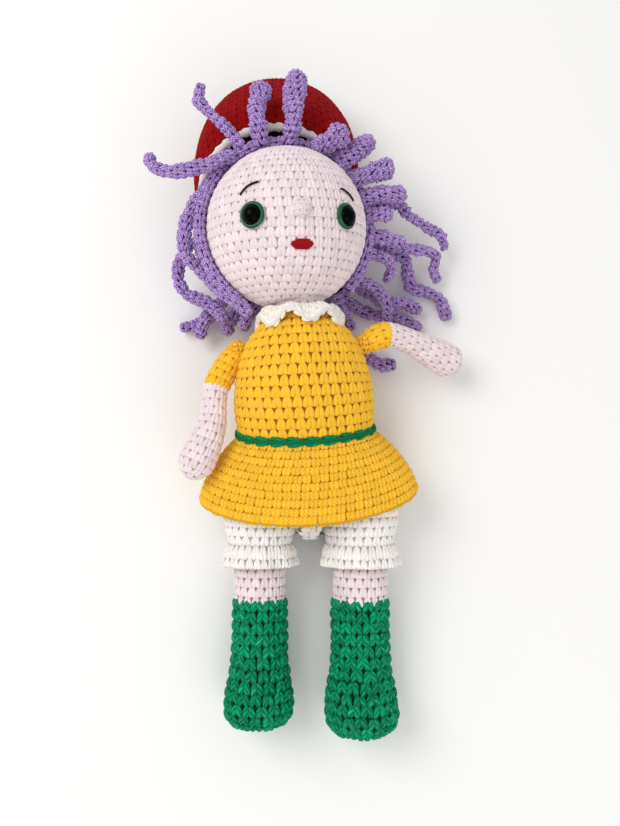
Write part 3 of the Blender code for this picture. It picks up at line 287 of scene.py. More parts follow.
# Each curl's root and tip as shares of the curls' radius, then its route in shares of the
# head's radius from its centre
CURL_SHARES = {
    "curl_top_far_left": (0.600, 0.600, (
        (-0.56, 0.95, 0.32), (-0.73, 1.14, 0.44), (-0.91, 1.29, 0.47), (-1.08, 1.51, 0.44),
        (-1.04, 1.70, 0.50))),
    "curl_left_flick": (0.775, 0.675, (
        (-0.67, 0.80, 0.36), (-0.82, 0.70, 0.46), (-1.03, 0.61, 0.48), (-1.39, 0.58, 0.40),
        (-1.64, 0.69, 0.33), (-1.71, 0.86, 0.32))),
    "curl_top_left": (0.875, 1.050, (
        (-0.30, 1.00, 0.29), (-0.34, 1.17, 0.42), (-0.36, 1.45, 0.44), (-0.28, 1.79, 0.36))),
    "curl_top_right": (0.925, 1.225, (
        (0.05, 1.04, 0.25), (0.09, 1.25, 0.42), (0.10, 1.55, 0.44), (0.16, 1.91, 0.38))),
    "curl_crown_right": (1.000, 1.300, (
        (0.36, 1.00, 0.17), (0.57, 1.02, 0.36), (0.77, 1.12, 0.45))),
    "curl_brow_right": (0.975, 1.275, (
        (0.64, 0.86, 0.07), (0.87, 0.97, 0.16), (1.11, 1.12, 0.22))),
    "curl_temple_upper": (0.950, 1.250, (
        (0.85, 0.68, -0.04), (1.10, 0.71, 0.11), (1.36, 0.80, 0.10))),
    "curl_temple_lower": (0.850, 1.025, (
        (0.96, 0.46, -0.11), (1.23, 0.48, -0.02), (1.54, 0.49, -0.05))),
    "curl_cheek_upper": (0.800, 0.950, (
        (1.03, 0.25, -0.15), (1.19, 0.25, -0.11), (1.36, 0.25, -0.13))),
    "curl_cheek_lower": (0.750, 0.825, (
        (1.06, 0.02, -0.19), (1.30, -0.04, -0.22), (1.54, -0.09, -0.29))),
    "curl_far_right": (0.600, 0.600, (
        (0.94, 0.36, -0.34), (1.24, 0.48, -0.38), (1.46, 0.52, -0.42), (1.61, 0.39, -0.47),
        (1.83, 0.30, -0.59), (2.08, 0.22, -0.76), (2.16, 0.06, -0.89))),
    "curl_right_drop": (0.600, 0.600, (
        (0.94, -0.02, -0.48), (1.33, -0.04, -0.49), (1.65, -0.04, -0.59), (1.90, -0.03, -0.70),
        (2.02, -0.08, -0.80), (1.99, -0.23, -0.90), (2.07, -0.37, -0.97))),
    "curl_right_ladder": (0.675, 0.725, (
        (0.80, 0.05, -0.69), (1.30, -0.06, -0.70), (1.58, -0.09, -0.77), (1.63, -0.28, -0.87),
        (1.70, -0.45, -0.96), (1.90, -0.50, -1.00), (2.08, -0.59, -1.02), (2.14, -0.74, -1.02),
        (2.17, -0.90, -1.02))),
    "curl_jaw_right": (0.625, 0.625, (
        (0.99, -0.18, -0.31), (1.27, -0.25, -0.35), (1.38, -0.34, -0.50), (1.30, -0.48, -0.65))),
    "curl_nape_right": (0.650, 0.700, (
        (0.80, -0.50, -0.47), (1.09, -0.57, -0.47), (1.25, -0.68, -0.59), (1.33, -0.82, -0.73),
        (1.32, -0.97, -0.87))),
    "curl_right_low": (0.675, 0.800, (
        (0.66, -0.36, -0.74), (1.09, -0.57, -0.85), (1.39, -0.70, -0.90), (1.61, -0.69, -0.93),
        (1.82, -0.79, -0.97))),
    "curl_right_low_tip": (0.650, 0.675, (
        (0.62, -0.56, -0.65), (1.00, -0.77, -0.97), (1.43, -0.87, -1.03), (1.65, -0.91, -1.03),
        (1.81, -1.04, -1.03))),
    "curl_under_arm": (0.675, 0.800, (
        (0.44, -0.68, -0.70), (0.62, -0.93, -0.91), (0.78, -1.12, -1.00), (1.01, -1.34, -1.03),
        (1.23, -1.51, -1.01), (1.47, -1.52, -1.01))),
    "curl_neck_right": (0.650, 0.750, (
        (0.62, -0.68, -0.55), (0.76, -0.94, -0.62), (0.85, -1.15, -0.66))),
    "curl_left_long": (0.750, 0.625, (
        (-0.93, 0.47, 0.27), (-1.08, 0.29, 0.28), (-1.19, 0.13, 0.22), (-1.27, -0.14, 0.12),
        (-1.26, -0.35, 0.03), (-1.06, -0.53, -0.04), (-0.83, -0.80, -0.04), (-0.57, -0.99, 0.01),
        (-0.44, -1.14, 0.05))),
    "curl_left_outer": (0.650, 0.725, (
        (-0.93, 0.06, -0.50), (-1.19, -0.01, -0.38), (-1.37, -0.20, -0.39), (-1.43, -0.39, -0.45),
        (-1.41, -0.55, -0.50), (-1.31, -0.69, -0.53), (-1.07, -0.80, -0.50), (-0.90, -0.95, -0.43),
        (-0.78, -1.10, -0.37))),
    "curl_left_inner": (0.600, 0.625, (
        (-0.98, 0.24, -0.30), (-1.12, 0.00, -0.20), (-1.13, -0.15, -0.28), (-1.04, -0.33, -0.44),
        (-0.93, -0.50, -0.60))),
    "curl_left_tip_low": (0.675, 0.725, (
        (-0.64, -0.42, -0.73), (-0.85, -0.62, -0.93), (-1.05, -0.80, -1.01), (-1.25, -0.96, -1.02),
        (-1.48, -1.00, -1.02))),
    "curl_left_tip_down": (0.675, 0.750, (
        (-0.68, -0.56, -0.58), (-0.92, -0.76, -0.73), (-1.09, -0.91, -0.80), (-1.20, -1.18, -0.92))),
    "curl_left_shoulder": (0.675, 0.800, (
        (-0.50, -0.72, -0.60), (-0.72, -0.98, -0.63), (-0.83, -1.20, -0.68))),
    "curl_left_shadow": (0.675, 0.775, (
        (-0.40, -0.82, -0.54), (-0.52, -1.03, -0.47), (-0.56, -1.20, -0.45))),
}


# Colours

def linear(code):
    """The linear colour of a code such as F6B92F."""
    channels = [int(code[i:i + 2], 16) / 255 for i in (0, 2, 4)]
    return [c / 12.92 if c <= 0.04045 else ((c + 0.055) / 1.055) ** 2.4 for c in channels]


def size(name, description, value, low=0.1, high=20.0):
    return FloatProperty(
        name=name, description=description, default=value * MM, min=low * MM, max=high * MM,
        unit="LENGTH", subtype="DISTANCE", precision=4,
    )


def colour(name, description, code):
    return FloatVectorProperty(
        name=name, description=description, default=linear(code), size=3, min=0.0, max=1.0,
        subtype="COLOR",
    )


class DollSizes(PropertyGroup):
    body_stitch: size("Body stitch", "Width of a stitch on the bodice", 4.3)
    body_row: size("Body row", "Height of a row on the bodice", 4.5)
    skirt_stitch: size("Skirt stitch", "Width of a stitch on the skirt", 3.8)
    skirt_row: size("Skirt row", "Height of a row on the skirt", 3.5)
    head_stitch: size("Head stitch", "Width of a stitch on the head", 3.9)
    head_row: size("Head row", "Height of a row on the head", 4.0)
    limb_stitch: size("Limb stitch", "Width of a stitch on the arms and legs", 3.8)
    limb_row: size("Limb row", "Height of a row on the arms and legs", 3.7)
    boot_stitch: size("Boot stitch", "Width of a stitch on the boots", 5.7)
    boot_row: size("Boot row", "Height of a row on the boots", 4.9)
    hat_stitch: size("Hat stitch", "Width of a stitch on the hat", 4.4)
    hat_row: size("Hat row", "Height of a row on the hat", 4.3)
    curl_stitch: size("Curl stitch", "Width of a stitch on a curl", 4.1)
    curl_row: size("Curl row", "Height of a row on a curl", 3.2)
    proud: size("Proud", "How far the stitches stand out of the solids", 0.4, 0.0, 2.0)
    ply_depth: size("Ply depth", "Depth of the grooves between the plies of the yarn", 0.16, 0.0)
    looseness: FloatProperty(name="Looseness", description="How unevenly the stitches are worked",
                             default=1.0, min=0.0, max=2.0, subtype="FACTOR")
    twist_seed: IntProperty(name="Seed", description="Seed of the uneven stitches", default=7)


class DollColours(PropertyGroup):
    skin: colour("Skin", "Pale pink yarn of the head, arms and legs", "F4E3E6")
    golden: colour("Golden", "Golden yarn of the dress", "FFC634")
    lilac: colour("Lilac", "Lilac yarn of the hair", "CDA9EC")
    boot: colour("Boots", "Green yarn of the boots", "0A9A68")
    belt: colour("Belt", "Green yarn of the belt", "0A8A54")
    hat: colour("Hat", "Red yarn of the hat", "960008")
    white: colour("Bloomers", "White yarn of the bloomers", "FAF5F0")
    cream: colour("Cream", "Cream yarn of the collar and the hat's band", "FDF8EE")
    lip: colour("Mouth", "Red thread of the mouth", "A80012")
    brow: colour("Brows", "Black thread of the brows", "0A0A0C")
    iris: colour("Iris", "Green plastic of the eyes", "03502A")
    pupil: colour("Pupil", "Black plastic of the pupils", "030303")
    floor: colour("Floor", "The plain floor", "F2F1EF")


# Frames of the pieces

def turned(place, turn=(0.0, 0.0, 0.0), order="XYZ"):
    return Matrix.Translation(place) @ Euler(turn, order).to_matrix().to_4x4()


def doll_origin():
    """Where the solids' own origin came to lie, told by the neck's joint."""
    joint = next(j for j in frame["joints"] if j["name"] == "neck_turn")
    neck = turned(WAIST_PLACE, (TORSO_PITCH, 0.0, TORSO_LEAN)) @ Vector((0.0, BODICE_HEIGHT, 0.0))
    found = Vector(joint["pos_m"]) - neck
    return Vector((found.x, found.y, 0.0))


ORIGIN = doll_origin()
TORSO = turned(WAIST_PLACE + ORIGIN, (TORSO_PITCH, 0.0, TORSO_LEAN))
HANG = turned(WAIST_PLACE + ORIGIN, (0.0, 0.0, TORSO_LEAN))
HEAD_CENTRE = TORSO @ Vector((HEAD_OFFSET_X, BODICE_HEIGHT + HEAD_RADIUS + NECK_SHOWN, HEAD_OFFSET_Z))
HEAD = turned(HEAD_CENTRE, (TORSO_PITCH, HEAD_TURN, HEAD_ROLL), "YXZ")
HAIR = turned(HEAD_CENTRE)
NECK_PLACE = TORSO @ Vector((0.0, BODICE_HEIGHT, 0.0))
HIPS = turned(HIP_PLACE + ORIGIN)
HIP = {
    name: turned(HIP_PLACE + ORIGIN + Vector((side * LEG_SPACING, 0, 0)), (LEG_PITCH, 0.0, 0.0))
    for side, name in ((-1, "left"), (1, "right"))
}
SHOULDER = {
    name: turned(TORSO @ Vector((side * SHOULDER_HALF_WIDTH, SHOULDER_HEIGHT, 0.0)))
    for side, name in ((-1, "left"), (1, "right"))
}


def placed(matrix, points):
    """Points of a piece's own frame, in the doll's frame."""
    points = np.asarray(points, float)
    return points @ np.array(matrix.to_3x3()).T + np.array(matrix.translation)


def face_frame(azimuth, elevation):
    """A frame at the head's centre whose z axis points out through the face."""
    return HEAD @ Euler((-elevation, azimuth, 0.0)).to_matrix().to_4x4()


# Curves through chosen values

def monotone(knots, values, at):
    """A smooth curve through the values that never overshoots them."""
    x, y = np.array(knots, float), np.array(values, float)
    step = np.diff(x)
    rise = np.diff(y) / step
    slope = np.zeros_like(y)
    slope[0], slope[-1] = rise[0], rise[-1]
    for i in range(1, len(y) - 1):
        if rise[i - 1] * rise[i] > 0:
            before, after = 2 * step[i] + step[i - 1], step[i] + 2 * step[i - 1]
            slope[i] = (before + after) / (before / rise[i - 1] + after / rise[i])
    i = np.clip(np.searchsorted(x, at) - 1, 0, len(step) - 1)
    s = (at - x[i]) / step[i]
    return (
        (2 * s ** 3 - 3 * s ** 2 + 1) * y[i]
        + (s ** 3 - 2 * s ** 2 + s) * step[i] * slope[i]
        + (3 * s ** 2 - 2 * s ** 3) * y[i + 1]
        + (s ** 3 - s ** 2) * step[i] * slope[i + 1]
    )


def smooth(points, per_stretch=8):
    """Points, or rings of points, on a smooth curve through the given ones."""
    points = np.asarray(points, float)
    if len(points) < 3:
        return points
    found = []
    last = len(points) - 1
    for i in range(last):
        p0, p1 = points[max(i - 1, 0)], points[i]
        p2, p3 = points[i + 1], points[min(i + 2, last)]
        for k in range(per_stretch):
            f = k / per_stretch
            found.append(0.5 * (
                2 * p1 + (p2 - p0) * f + (2 * p0 - 5 * p1 + 4 * p2 - p3) * f ** 2
                + (3 * p1 - p0 - 3 * p2 + p3) * f ** 3
            ))
    return np.array(found + [points[-1]])


def unit(vectors):
    size_of = np.linalg.norm(vectors, axis=-1, keepdims=True)
    return vectors / np.maximum(size_of, 1e-12)


class Route:
    """A smooth line that gives its points and directions at any distances along it."""

    def __init__(self, points, closed=False):
        points = np.asarray(points, float)
        self.points = np.vstack([points, points[:1]]) if closed else smooth(points)
        steps = np.linalg.norm(np.diff(self.points, axis=0), axis=1)
        self.marks = np.concatenate([[0.0], np.cumsum(steps)])
        self.length = float(self.marks[-1])
        self.closed = closed

    def at(self, distance):
        distance = np.asarray(distance, float)
        distance = distance % self.length if self.closed else np.clip(distance, 0, self.length)
        return np.stack([np.interp(distance, self.marks, self.points[:, k]) for k in range(3)], -1)

    def direction(self, distance):
        step = 0.02 * self.length
        return unit(self.at(distance + step) - self.at(distance - step))


# Surfaces as rings of points

COLUMNS = 96
TUBE_SIDES = 32


def round_angles(count):
    """Angles of points spaced evenly round a circle."""
    return np.arange(count) * 2 * math.pi / count


def ring_shares(flatness=1.0):
    angles = round_angles(COLUMNS)
    side, up = np.cos(angles), np.sin(angles)
    low = up < 0
    side[low] = np.sign(side[low]) * np.abs(side[low]) ** flatness
    up[low] = -np.abs(up[low]) ** flatness
    return side[:, None], up[:, None]


def ring(centre, across, up, half_width, half_depth, flatness=1.0):
    side, rise = ring_shares(flatness)
    return np.asarray(centre) + np.asarray(across) * half_width * side + np.asarray(up) * half_depth * rise


def level(centre, half_width, half_depth):
    """A ring that lies across the y axis."""
    return ring(centre, (1, 0, 0), (0, 0, 1), half_width, half_depth)


def waved_ring(angles, radius, height):
    """Points round the y axis, whose radius and height may vary round it."""
    return np.stack(np.broadcast_arrays(radius * np.cos(angles), height, radius * np.sin(angles)), -1)


def between(table, at):
    """The value of each other column where the table's first column reaches a given value."""
    knots, *columns = np.array(table, float).T
    return [float(monotone(knots, column, at)) for column in columns]


def swept_rings(route, sections, across, span=(0.0, 1.0), round_start=0.0, round_end=0.0, grow=0.0):
    """Rings along a route. Sections are (share, half width, half depth) along it."""
    start, end = span
    turns = np.linspace(0, math.pi / 2, 9)
    marks = []
    if round_start:
        marks += [(start + round_start * (1 - math.cos(a)), max(math.sin(a), 0.03)) for a in turns[:-1]]
    marks += [(s, 1.0) for s in np.linspace(start + round_start, end - round_end, 41)]
    if round_end:
        marks += [(end - round_end * (1 - math.cos(a)), max(math.sin(a), 0.03)) for a in turns[-2::-1]]
    across = np.asarray(across, float)
    rings = []
    for at, factor in marks:
        along = route.direction(at * route.length)
        side = unit(across - along * across.dot(along))
        width, depth = ((half + grow) * factor for half in between(sections, at))
        rings.append(ring(route.at(at * route.length), side, np.cross(side, along), width, depth))
    return np.array(rings)


def ball_rings(radius, count=60):
    """Rings of a ball round its y axis."""
    x, z = ring_shares()
    rings = []
    for a in np.radians(np.linspace(-89.0, 89.0, count)):
        across = radius * math.cos(a)
        rings.append(np.hstack([across * x, np.full_like(x, radius * math.sin(a)), across * z]))
    return np.array(rings)


def tube_rings(route, radius, spacing=0.6 * MM, squash=(1.0, 1.0), turn=0.0):
    """Rings along a route with a radius for each distance, rounded off at its end."""
    count = max(12, int(route.length / spacing))
    distance = np.linspace(0, route.length, count)
    radii = radius(distance)
    near = np.clip((route.length - distance) / radii, 0, 1)
    radii = radii * np.sqrt(np.maximum(1 - (1 - near) ** 2, 0.01))
    centres, along = route.at(distance), route.direction(distance)
    side = unit(np.cross(along[0], [0.3, 0.1, 1.0]))
    angles = round_angles(TUBE_SIDES)[:, None]
    rings = []
    for k in range(count):
        side = unit(side - along[k] * side.dot(along[k]))
        other = np.cross(along[k], side)
        spin = turn * distance[k]
        wide = side * math.cos(spin) + other * math.sin(spin)
        x = radii[k] * squash[0] * np.cos(angles)
        y = radii[k] * squash[1] * np.sin(angles)
        rings.append(centres[k] + wide * x + np.cross(along[k], wide) * y)
    return np.array(rings)


UNSEEN_WEIGHT = 0.05


class Surface:
    """Rings of points, measured in shares round it and in metres along the side that shows."""

    def __init__(self, rings):
        self.grid = np.array([self.even(one) for one in rings])
        after, before = np.roll(self.grid, -1, axis=1), np.roll(self.grid, 1, axis=1)
        self.around = np.linalg.norm(after - self.grid, axis=2).sum(axis=1)
        normal = unit(np.cross(after - before, np.gradient(self.grid, axis=0)))
        outward = self.grid - self.grid.mean(axis=1, keepdims=True)
        if (normal * outward).sum() < 0:
            normal = -normal
        self.normal = normal
        steps = np.linalg.norm(np.diff(self.grid, axis=0), axis=2)
        seen = np.maximum(normal[:-1, :, 2], UNSEEN_WEIGHT) ** 2
        self.marks = np.concatenate([[0.0], np.cumsum((steps * seen).sum(axis=1) / seen.sum(axis=1))])
        self.length = float(self.marks[-1])

    @staticmethod
    def even(points):
        """The same ring with its points evenly spaced."""
        loop = np.vstack([points, points[:1]])
        marks = np.concatenate([[0], np.cumsum(np.linalg.norm(np.diff(loop, axis=0), axis=1))])
        if marks[-1] < 1e-9:
            return points
        at = np.arange(len(points)) / len(points) * marks[-1]
        return np.stack([np.interp(at, marks, loop[:, k]) for k in range(3)], -1)

    def at(self, around, along):
        """Points and outward directions at shares round and metres along."""
        rows, columns = self.grid.shape[:2]
        i = np.interp(along, self.marks, np.arange(rows))
        i0 = np.minimum(i.astype(int), rows - 2)
        fi = (i - i0)[..., None]
        j = (around % 1.0) * columns
        j0 = j.astype(int) % columns
        fj = (j - np.floor(j))[..., None]
        j1 = (j0 + 1) % columns
        found = []
        for table in (self.grid, self.normal):
            low = table[i0, j0] * (1 - fj) + table[i0, j1] * fj
            high = table[i0 + 1, j0] * (1 - fj) + table[i0 + 1, j1] * fj
            found.append(low * (1 - fi) + high * fi)
        return found[0], unit(found[1])


# Stitches

UNDER_SHARE = 0.6


class Stitch:
    """A stitch of two plump lobes side by side.

    The rows of a lobe give how far along the stitch they are, their middle, their half width
    and their height, in shares of the stitch. The first and the last row close it."""

    def __init__(self, rows, sides=6, lift=1.0):
        rows = np.array(rows) * np.array([1.0, 1.0, 1.0, lift])
        crown, last = rows[:, 3].max(), len(rows) - 1
        angles = np.append(np.linspace(0.0, math.pi, sides - 1), 1.5 * math.pi)
        points, uv, quads, tris = [], [], [], []
        for side in (-1, 1):
            base = len(points)
            for k, (along, middle, half, height) in enumerate(rows):
                for angle in (angles if 0 < k < last else angles[:1]):
                    out = math.sin(angle) * (1.0 if angle < math.pi else UNDER_SHARE)
                    points.append((side * middle + half * math.cos(angle), along, height * out))
                    uv.append((side * angle / (2 * math.pi), along))
            first, final = base + 1, base + 1 + (last - 1) * sides
            for k in range(last - 2):
                for j in range(sides):
                    n = (j + 1) % sides
                    low, high = first + k * sides, first + (k + 1) * sides
                    quads.append((low + j, low + n, high + n, high + j))
            for j in range(sides):
                n = (j + 1) % sides
                tris.append((base, first + n, first + j))
                tris.append((final, final - sides + j, final - sides + n))
        self.points = np.array(points)
        self.uv = np.array(uv)
        # A point's rise steers the painted shade: the low parts of each lobe are coloured darker
        self.rise = np.clip(self.points[:, 2] / crown, 0.0, 1.0)
        self.quads = np.array(quads)
        self.tris = np.array(tris)
        self.height = crown


HOLED_ROWS = (
    (-0.08, 0.27, 0.00, 0.00),
    (0.03, 0.26, 0.27, 0.15),
    (0.20, 0.25, 0.33, 0.25),
    (0.44, 0.23, 0.33, 0.285),
    (0.64, 0.21, 0.30, 0.275),
    (0.80, 0.18, 0.27, 0.245),
    (0.92, 0.14, 0.22, 0.20),
    (1.04, 0.11, 0.15, 0.15),
    (1.16, 0.10, 0.00, 0.04),
)
SOFT_ROWS = (
    (-0.08, 0.26, 0.00, 0.00),
    (0.04, 0.26, 0.29, 0.11),
    (0.22, 0.25, 0.33, 0.185),
    (0.50, 0.24, 0.33, 0.215),
    (0.76, 0.21, 0.30, 0.195),
    (0.92, 0.17, 0.26, 0.155),
    (1.05, 0.14, 0.19, 0.115),
    (1.16, 0.13, 0.00, 0.03),
)
SQUARE_ROWS = (
    (-0.07, 0.25, 0.00, 0.00),
    (0.03, 0.25, 0.28, 0.10),
    (0.20, 0.25, 0.32, 0.19),
    (0.50, 0.24, 0.32, 0.22),
    (0.78, 0.23, 0.30, 0.20),
    (0.93, 0.21, 0.26, 0.14),
    (1.03, 0.19, 0.19, 0.09),
    (1.10, 0.18, 0.00, 0.02),
)
PLAIN_ROWS = (
    (-0.10, 0.26, 0.00, 0.00),
    (0.08, 0.26, 0.29, 0.15),
    (0.50, 0.25, 0.29, 0.17),
    (0.92, 0.24, 0.28, 0.15),
    (1.08, 0.24, 0.00, 0.02),
)
CHUNKY_ROWS = (
    (-0.16, 0.14, 0.00, 0.03),
    (-0.02, 0.15, 0.22, 0.20),
    (0.18, 0.17, 0.29, 0.29),
    (0.42, 0.21, 0.31, 0.33),
    (0.66, 0.25, 0.29, 0.32),
    (0.86, 0.28, 0.24, 0.25),
    (0.99, 0.30, 0.17, 0.16),
    (1.08, 0.30, 0.00, 0.04),
)
LINK_ROWS = (
    (-0.42, 0.03, 0.00, 0.10),
    (-0.28, 0.05, 0.14, 0.15),
    (-0.04, 0.12, 0.20, 0.23),
    (0.22, 0.21, 0.22, 0.30),
    (0.48, 0.28, 0.21, 0.29),
    (0.70, 0.30, 0.17, 0.20),
    (0.82, 0.30, 0.00, 0.10),
)
PLUMP = Stitch(HOLED_ROWS)
SOFT = Stitch(SOFT_ROWS)
FLAT = Stitch(SOFT_ROWS, lift=0.7)
SQUARE = Stitch(SQUARE_ROWS, lift=1.4)
BUMPY = Stitch(HOLED_ROWS, lift=1.35)
PLAIN = Stitch(PLAIN_ROWS, sides=5)
SMALL = Stitch(CHUNKY_ROWS, lift=1.2)
THICK = Stitch(CHUNKY_ROWS, sides=7, lift=1.15)
LINK = Stitch(LINK_ROWS, sides=8)

CLOTH_SQUARES = 48
CLOTH_DEPTH_SHARE = 0.9
STRAND_SIDES = 8
STRAND_TURNS_PER_MM = 0.35

# How far loose stitches vary, in shares of a stitch
VARIED_WIDTH = 0.03
VARIED_PLACE = 0.018
VARIED_ROW = 0.02
VARIED_SLANT = 0.03
VARIED_HEIGHT = 0.05


class Yarnwork:
    """Gathers the stitches, strands and inner cloth of one piece into one mesh."""

    def __init__(self, name):
        self.name = name
        self.sizes, _ = settings()
        self.random = np.random.default_rng(self.sizes.twist_seed + sum(name.encode()))
        self.points, self.quads, self.tris = [], [], []
        self.uv, self.rise, self.tone = [], [], []
        self.count = 0

    def add(self, points, quads, tris, uv, rise, tone):
        self.points.append(points.reshape(-1, 3))
        self.quads.append(np.asarray(quads, int).reshape(-1, 4) + self.count)
        self.tris.append(np.asarray(tris, int).reshape(-1, 3) + self.count)
        self.uv.append(uv.reshape(-1, 2))
        self.rise.append(rise.ravel())
        self.tone.append(tone.ravel())
        self.count += len(self.points[-1])

    def cloth(self, surface, offset, keep, inward, closed):
        """The cloth that shows between the stitches, coloured all over with the painted shade that stands
        for the shade between them.
        """
        count = CLOTH_SQUARES
        around, along = np.meshgrid(np.arange(count) / count, np.linspace(0, surface.length, count))
        points, normals = surface.at(around, along)
        points = (points + normals * offset).reshape(-1, 3)
        i, j = np.arange(count - 1)[:, None] * count, np.arange(count)[None]
        n = (j + 1) % count
        quads = np.stack([i + j, i + n, i + count + n, i + count + j], -1).reshape(-1, 4)
        tris = np.empty((0, 3), int)
        if keep is not None:
            quads = quads[keep(points)[quads].all(axis=1)]
        if closed:
            points = np.vstack([points, points[:count].mean(0), points[-count:].mean(0)])
            k, top = np.arange(count), np.full(count, count * count)
            n = (k + 1) % count
            tris = np.stack([top, n, k, top + 1, top - count + k, top - count + n], -1).reshape(-1, 3)
        if inward:
            quads, tris = quads[:, ::-1], tris[:, ::-1]
        total = len(points)
        # Rise 0: the cloth takes the painted shade colour all over
        self.add(points, quads, tris, np.zeros((total, 2)), np.zeros(total), np.full(total, 0.5))

    def work(self, kind, points_of, places, out, flip=False, loose=1.0):
        """Stitches at given places, which are each stitch's middle, width, start, height and real
        width. points_of gives points and directions on the surface."""
        centres, widths, lows, heights, physical = (part[:, None] for part in places)
        count = len(centres)
        noise_of = self.random.normal(0.0, 1.0, (5, count, 1)) * self.sizes.looseness * loose
        wide, aside, ahead, slant, tall = noise_of
        a, b, c = kind.points.T
        if flip:
            b = 1.0 - b
        a = a * (1 + VARIED_WIDTH * wide) + VARIED_PLACE * aside + VARIED_SLANT * slant * (b - 0.5)
        b = b + VARIED_ROW * ahead
        c = c * (1 + VARIED_HEIGHT * tall) - kind.height
        points, normals = points_of(centres + a * widths, lows + b * heights)
        points = points + normals * (out + c * physical)[..., None]
        base = (np.arange(count) * len(kind.points))[:, None, None]
        turn = slice(None, None, -1 if flip else None)
        uv = kind.uv + np.array([0.0, 1.0]) * ahead[..., None]
        rise = np.broadcast_to(kind.rise, (count, len(kind.rise)))
        tone = np.broadcast_to(self.random.random((count, 1)), rise.shape)
        self.add(points, kind.quads[:, turn] + base, kind.tris[:, turn] + base, uv, rise, tone)

    def crochet(self, surface, stitch, row, kind=PLUMP, out=None, flip=False, lean=0.1, keep=None,
                inward=False, cloth=True, whole_cloth=False, closed=True, least=5, loose=1.0):
        """Rows of stitches round a surface, with the cloth behind them."""
        rows = max(1, round(surface.length / row))
        height = surface.length / rows
        made, before, turn = [], 0, self.random.random()
        for k in range(rows):
            start = k * height
            around = float(np.interp(start + height / 2, surface.marks, surface.around))
            count = max(least, round(around / stitch))
            if before and abs(count - before) <= max(1, 0.05 * before):
                count = before
            turn += lean / count
            middles = (np.arange(count) + 0.5) / count + turn
            made.append((middles, *(np.full(count, v) for v in (1 / count, start, height, around / count))))
            before = count
        places = [np.concatenate(part) for part in zip(*made)]
        if keep is not None:
            chosen = keep(surface.at(places[0], places[2] + height / 2)[0])
            places = [part[chosen] for part in places]
        out = self.sizes.proud if out is None else out
        sign = -1.0 if inward else 1.0

        def points_of(around, along):
            points, normals = surface.at(around, along)
            return points, normals * sign

        self.work(kind, points_of, places, out, flip, loose)
        if inward:
            self.quads[-1] = self.quads[-1][:, ::-1]
            self.tris[-1] = self.tris[-1][:, ::-1]
        if cloth:
            behind = (out - kind.height * stitch * CLOTH_DEPTH_SHARE) * sign
            self.cloth(surface, behind, None if whole_cloth else keep, inward, closed)

    def lining(self, outer, thickness, stitch, row):
        """The plain inner side of a piece that is open, a thickness behind its outer side."""
        inner = Surface(outer.grid - outer.normal * thickness)
        self.crochet(inner, stitch, row, kind=PLAIN, inward=True, out=0.0, closed=False)

    def chain(self, route, link, width, outward, core):
        """Linked chain stitches along a closed route. outward gives each point's face side."""
        count = max(3, round(route.length / link))
        each = route.length / count

        def points_of(across, distance):
            centre, along = route.at(distance), route.direction(distance)
            face = outward(centre)
            face = unit(face - along * (face * along).sum(-1, keepdims=True))
            return centre + np.cross(along, face) * (across * width)[..., None], face

        places = (np.zeros(count), np.ones(count), np.arange(count) * each, np.full(count, each),
                  np.full(count, width))
        self.work(LINK, points_of, places, LINK.height * width * 0.5)
        middle = route.at(np.linspace(0, route.length, count * 3 + 1))
        # The core under the links has a low rise, so part of the painted shade colours it
        self.strand(middle, core * width, closed=True, rise=0.25)

    def strand(self, points, radius, closed=False, rise=1.0, flat=1.0):
        """A single strand of yarn or thread along points."""
        points = np.asarray(points, float)
        if closed:
            points = points[:-1]
            along = unit(np.roll(points, -1, axis=0) - np.roll(points, 1, axis=0))
        else:
            along = unit(np.gradient(points, axis=0))
        count, sides = len(points), STRAND_SIDES
        angles = round_angles(sides)
        distance = np.concatenate([[0], np.cumsum(np.linalg.norm(np.diff(points, axis=0), axis=1))])
        radii = np.full(count, radius)
        if not closed:
            near = np.minimum(distance, distance[-1] - distance) / radius
            radii = radius * np.sqrt(np.clip(1 - (1 - np.clip(near, 0, 1)) ** 2, 0.09, 1))
        side = unit(np.cross(along[0], [0.2, 0.3, 1.0]))
        rings = []
        for k in range(count):
            side = unit(side - along[k] * side.dot(along[k]))
            other = np.cross(along[k], side)
            around = side * np.cos(angles)[:, None] + other * np.sin(angles)[:, None] * flat
            rings.append(points[k] + around * radii[k])
        made = np.array(rings).reshape(-1, 3)
        i, j = np.arange(count if closed else count - 1)[:, None], np.arange(sides)[None]
        n, m = (j + 1) % sides, (i + 1) % count
        quads = np.stack([i * sides + j, i * sides + n, m * sides + n, m * sides + j], -1)
        turns = (distance / MM * STRAND_TURNS_PER_MM)[:, None]
        uv = np.stack(np.broadcast_arrays(angles / (2 * math.pi), turns), -1).reshape(-1, 2)
        tris = []
        if not closed:
            ends = [points[0] - along[0] * radius * 0.2, points[-1] + along[-1] * radius * 0.2]
            made, uv = np.vstack([made, ends]), np.vstack([uv, [0, 0], [0, 0]])
            total = count * sides
            for k in range(sides):
                tris += [(total, (k + 1) % sides, k)]
                tris += [(total + 1, total - sides + k, total - sides + (k + 1) % sides)]
        total = len(made)
        self.add(made, quads, tris, uv, np.full(total, rise), np.full(total, self.random.random()))

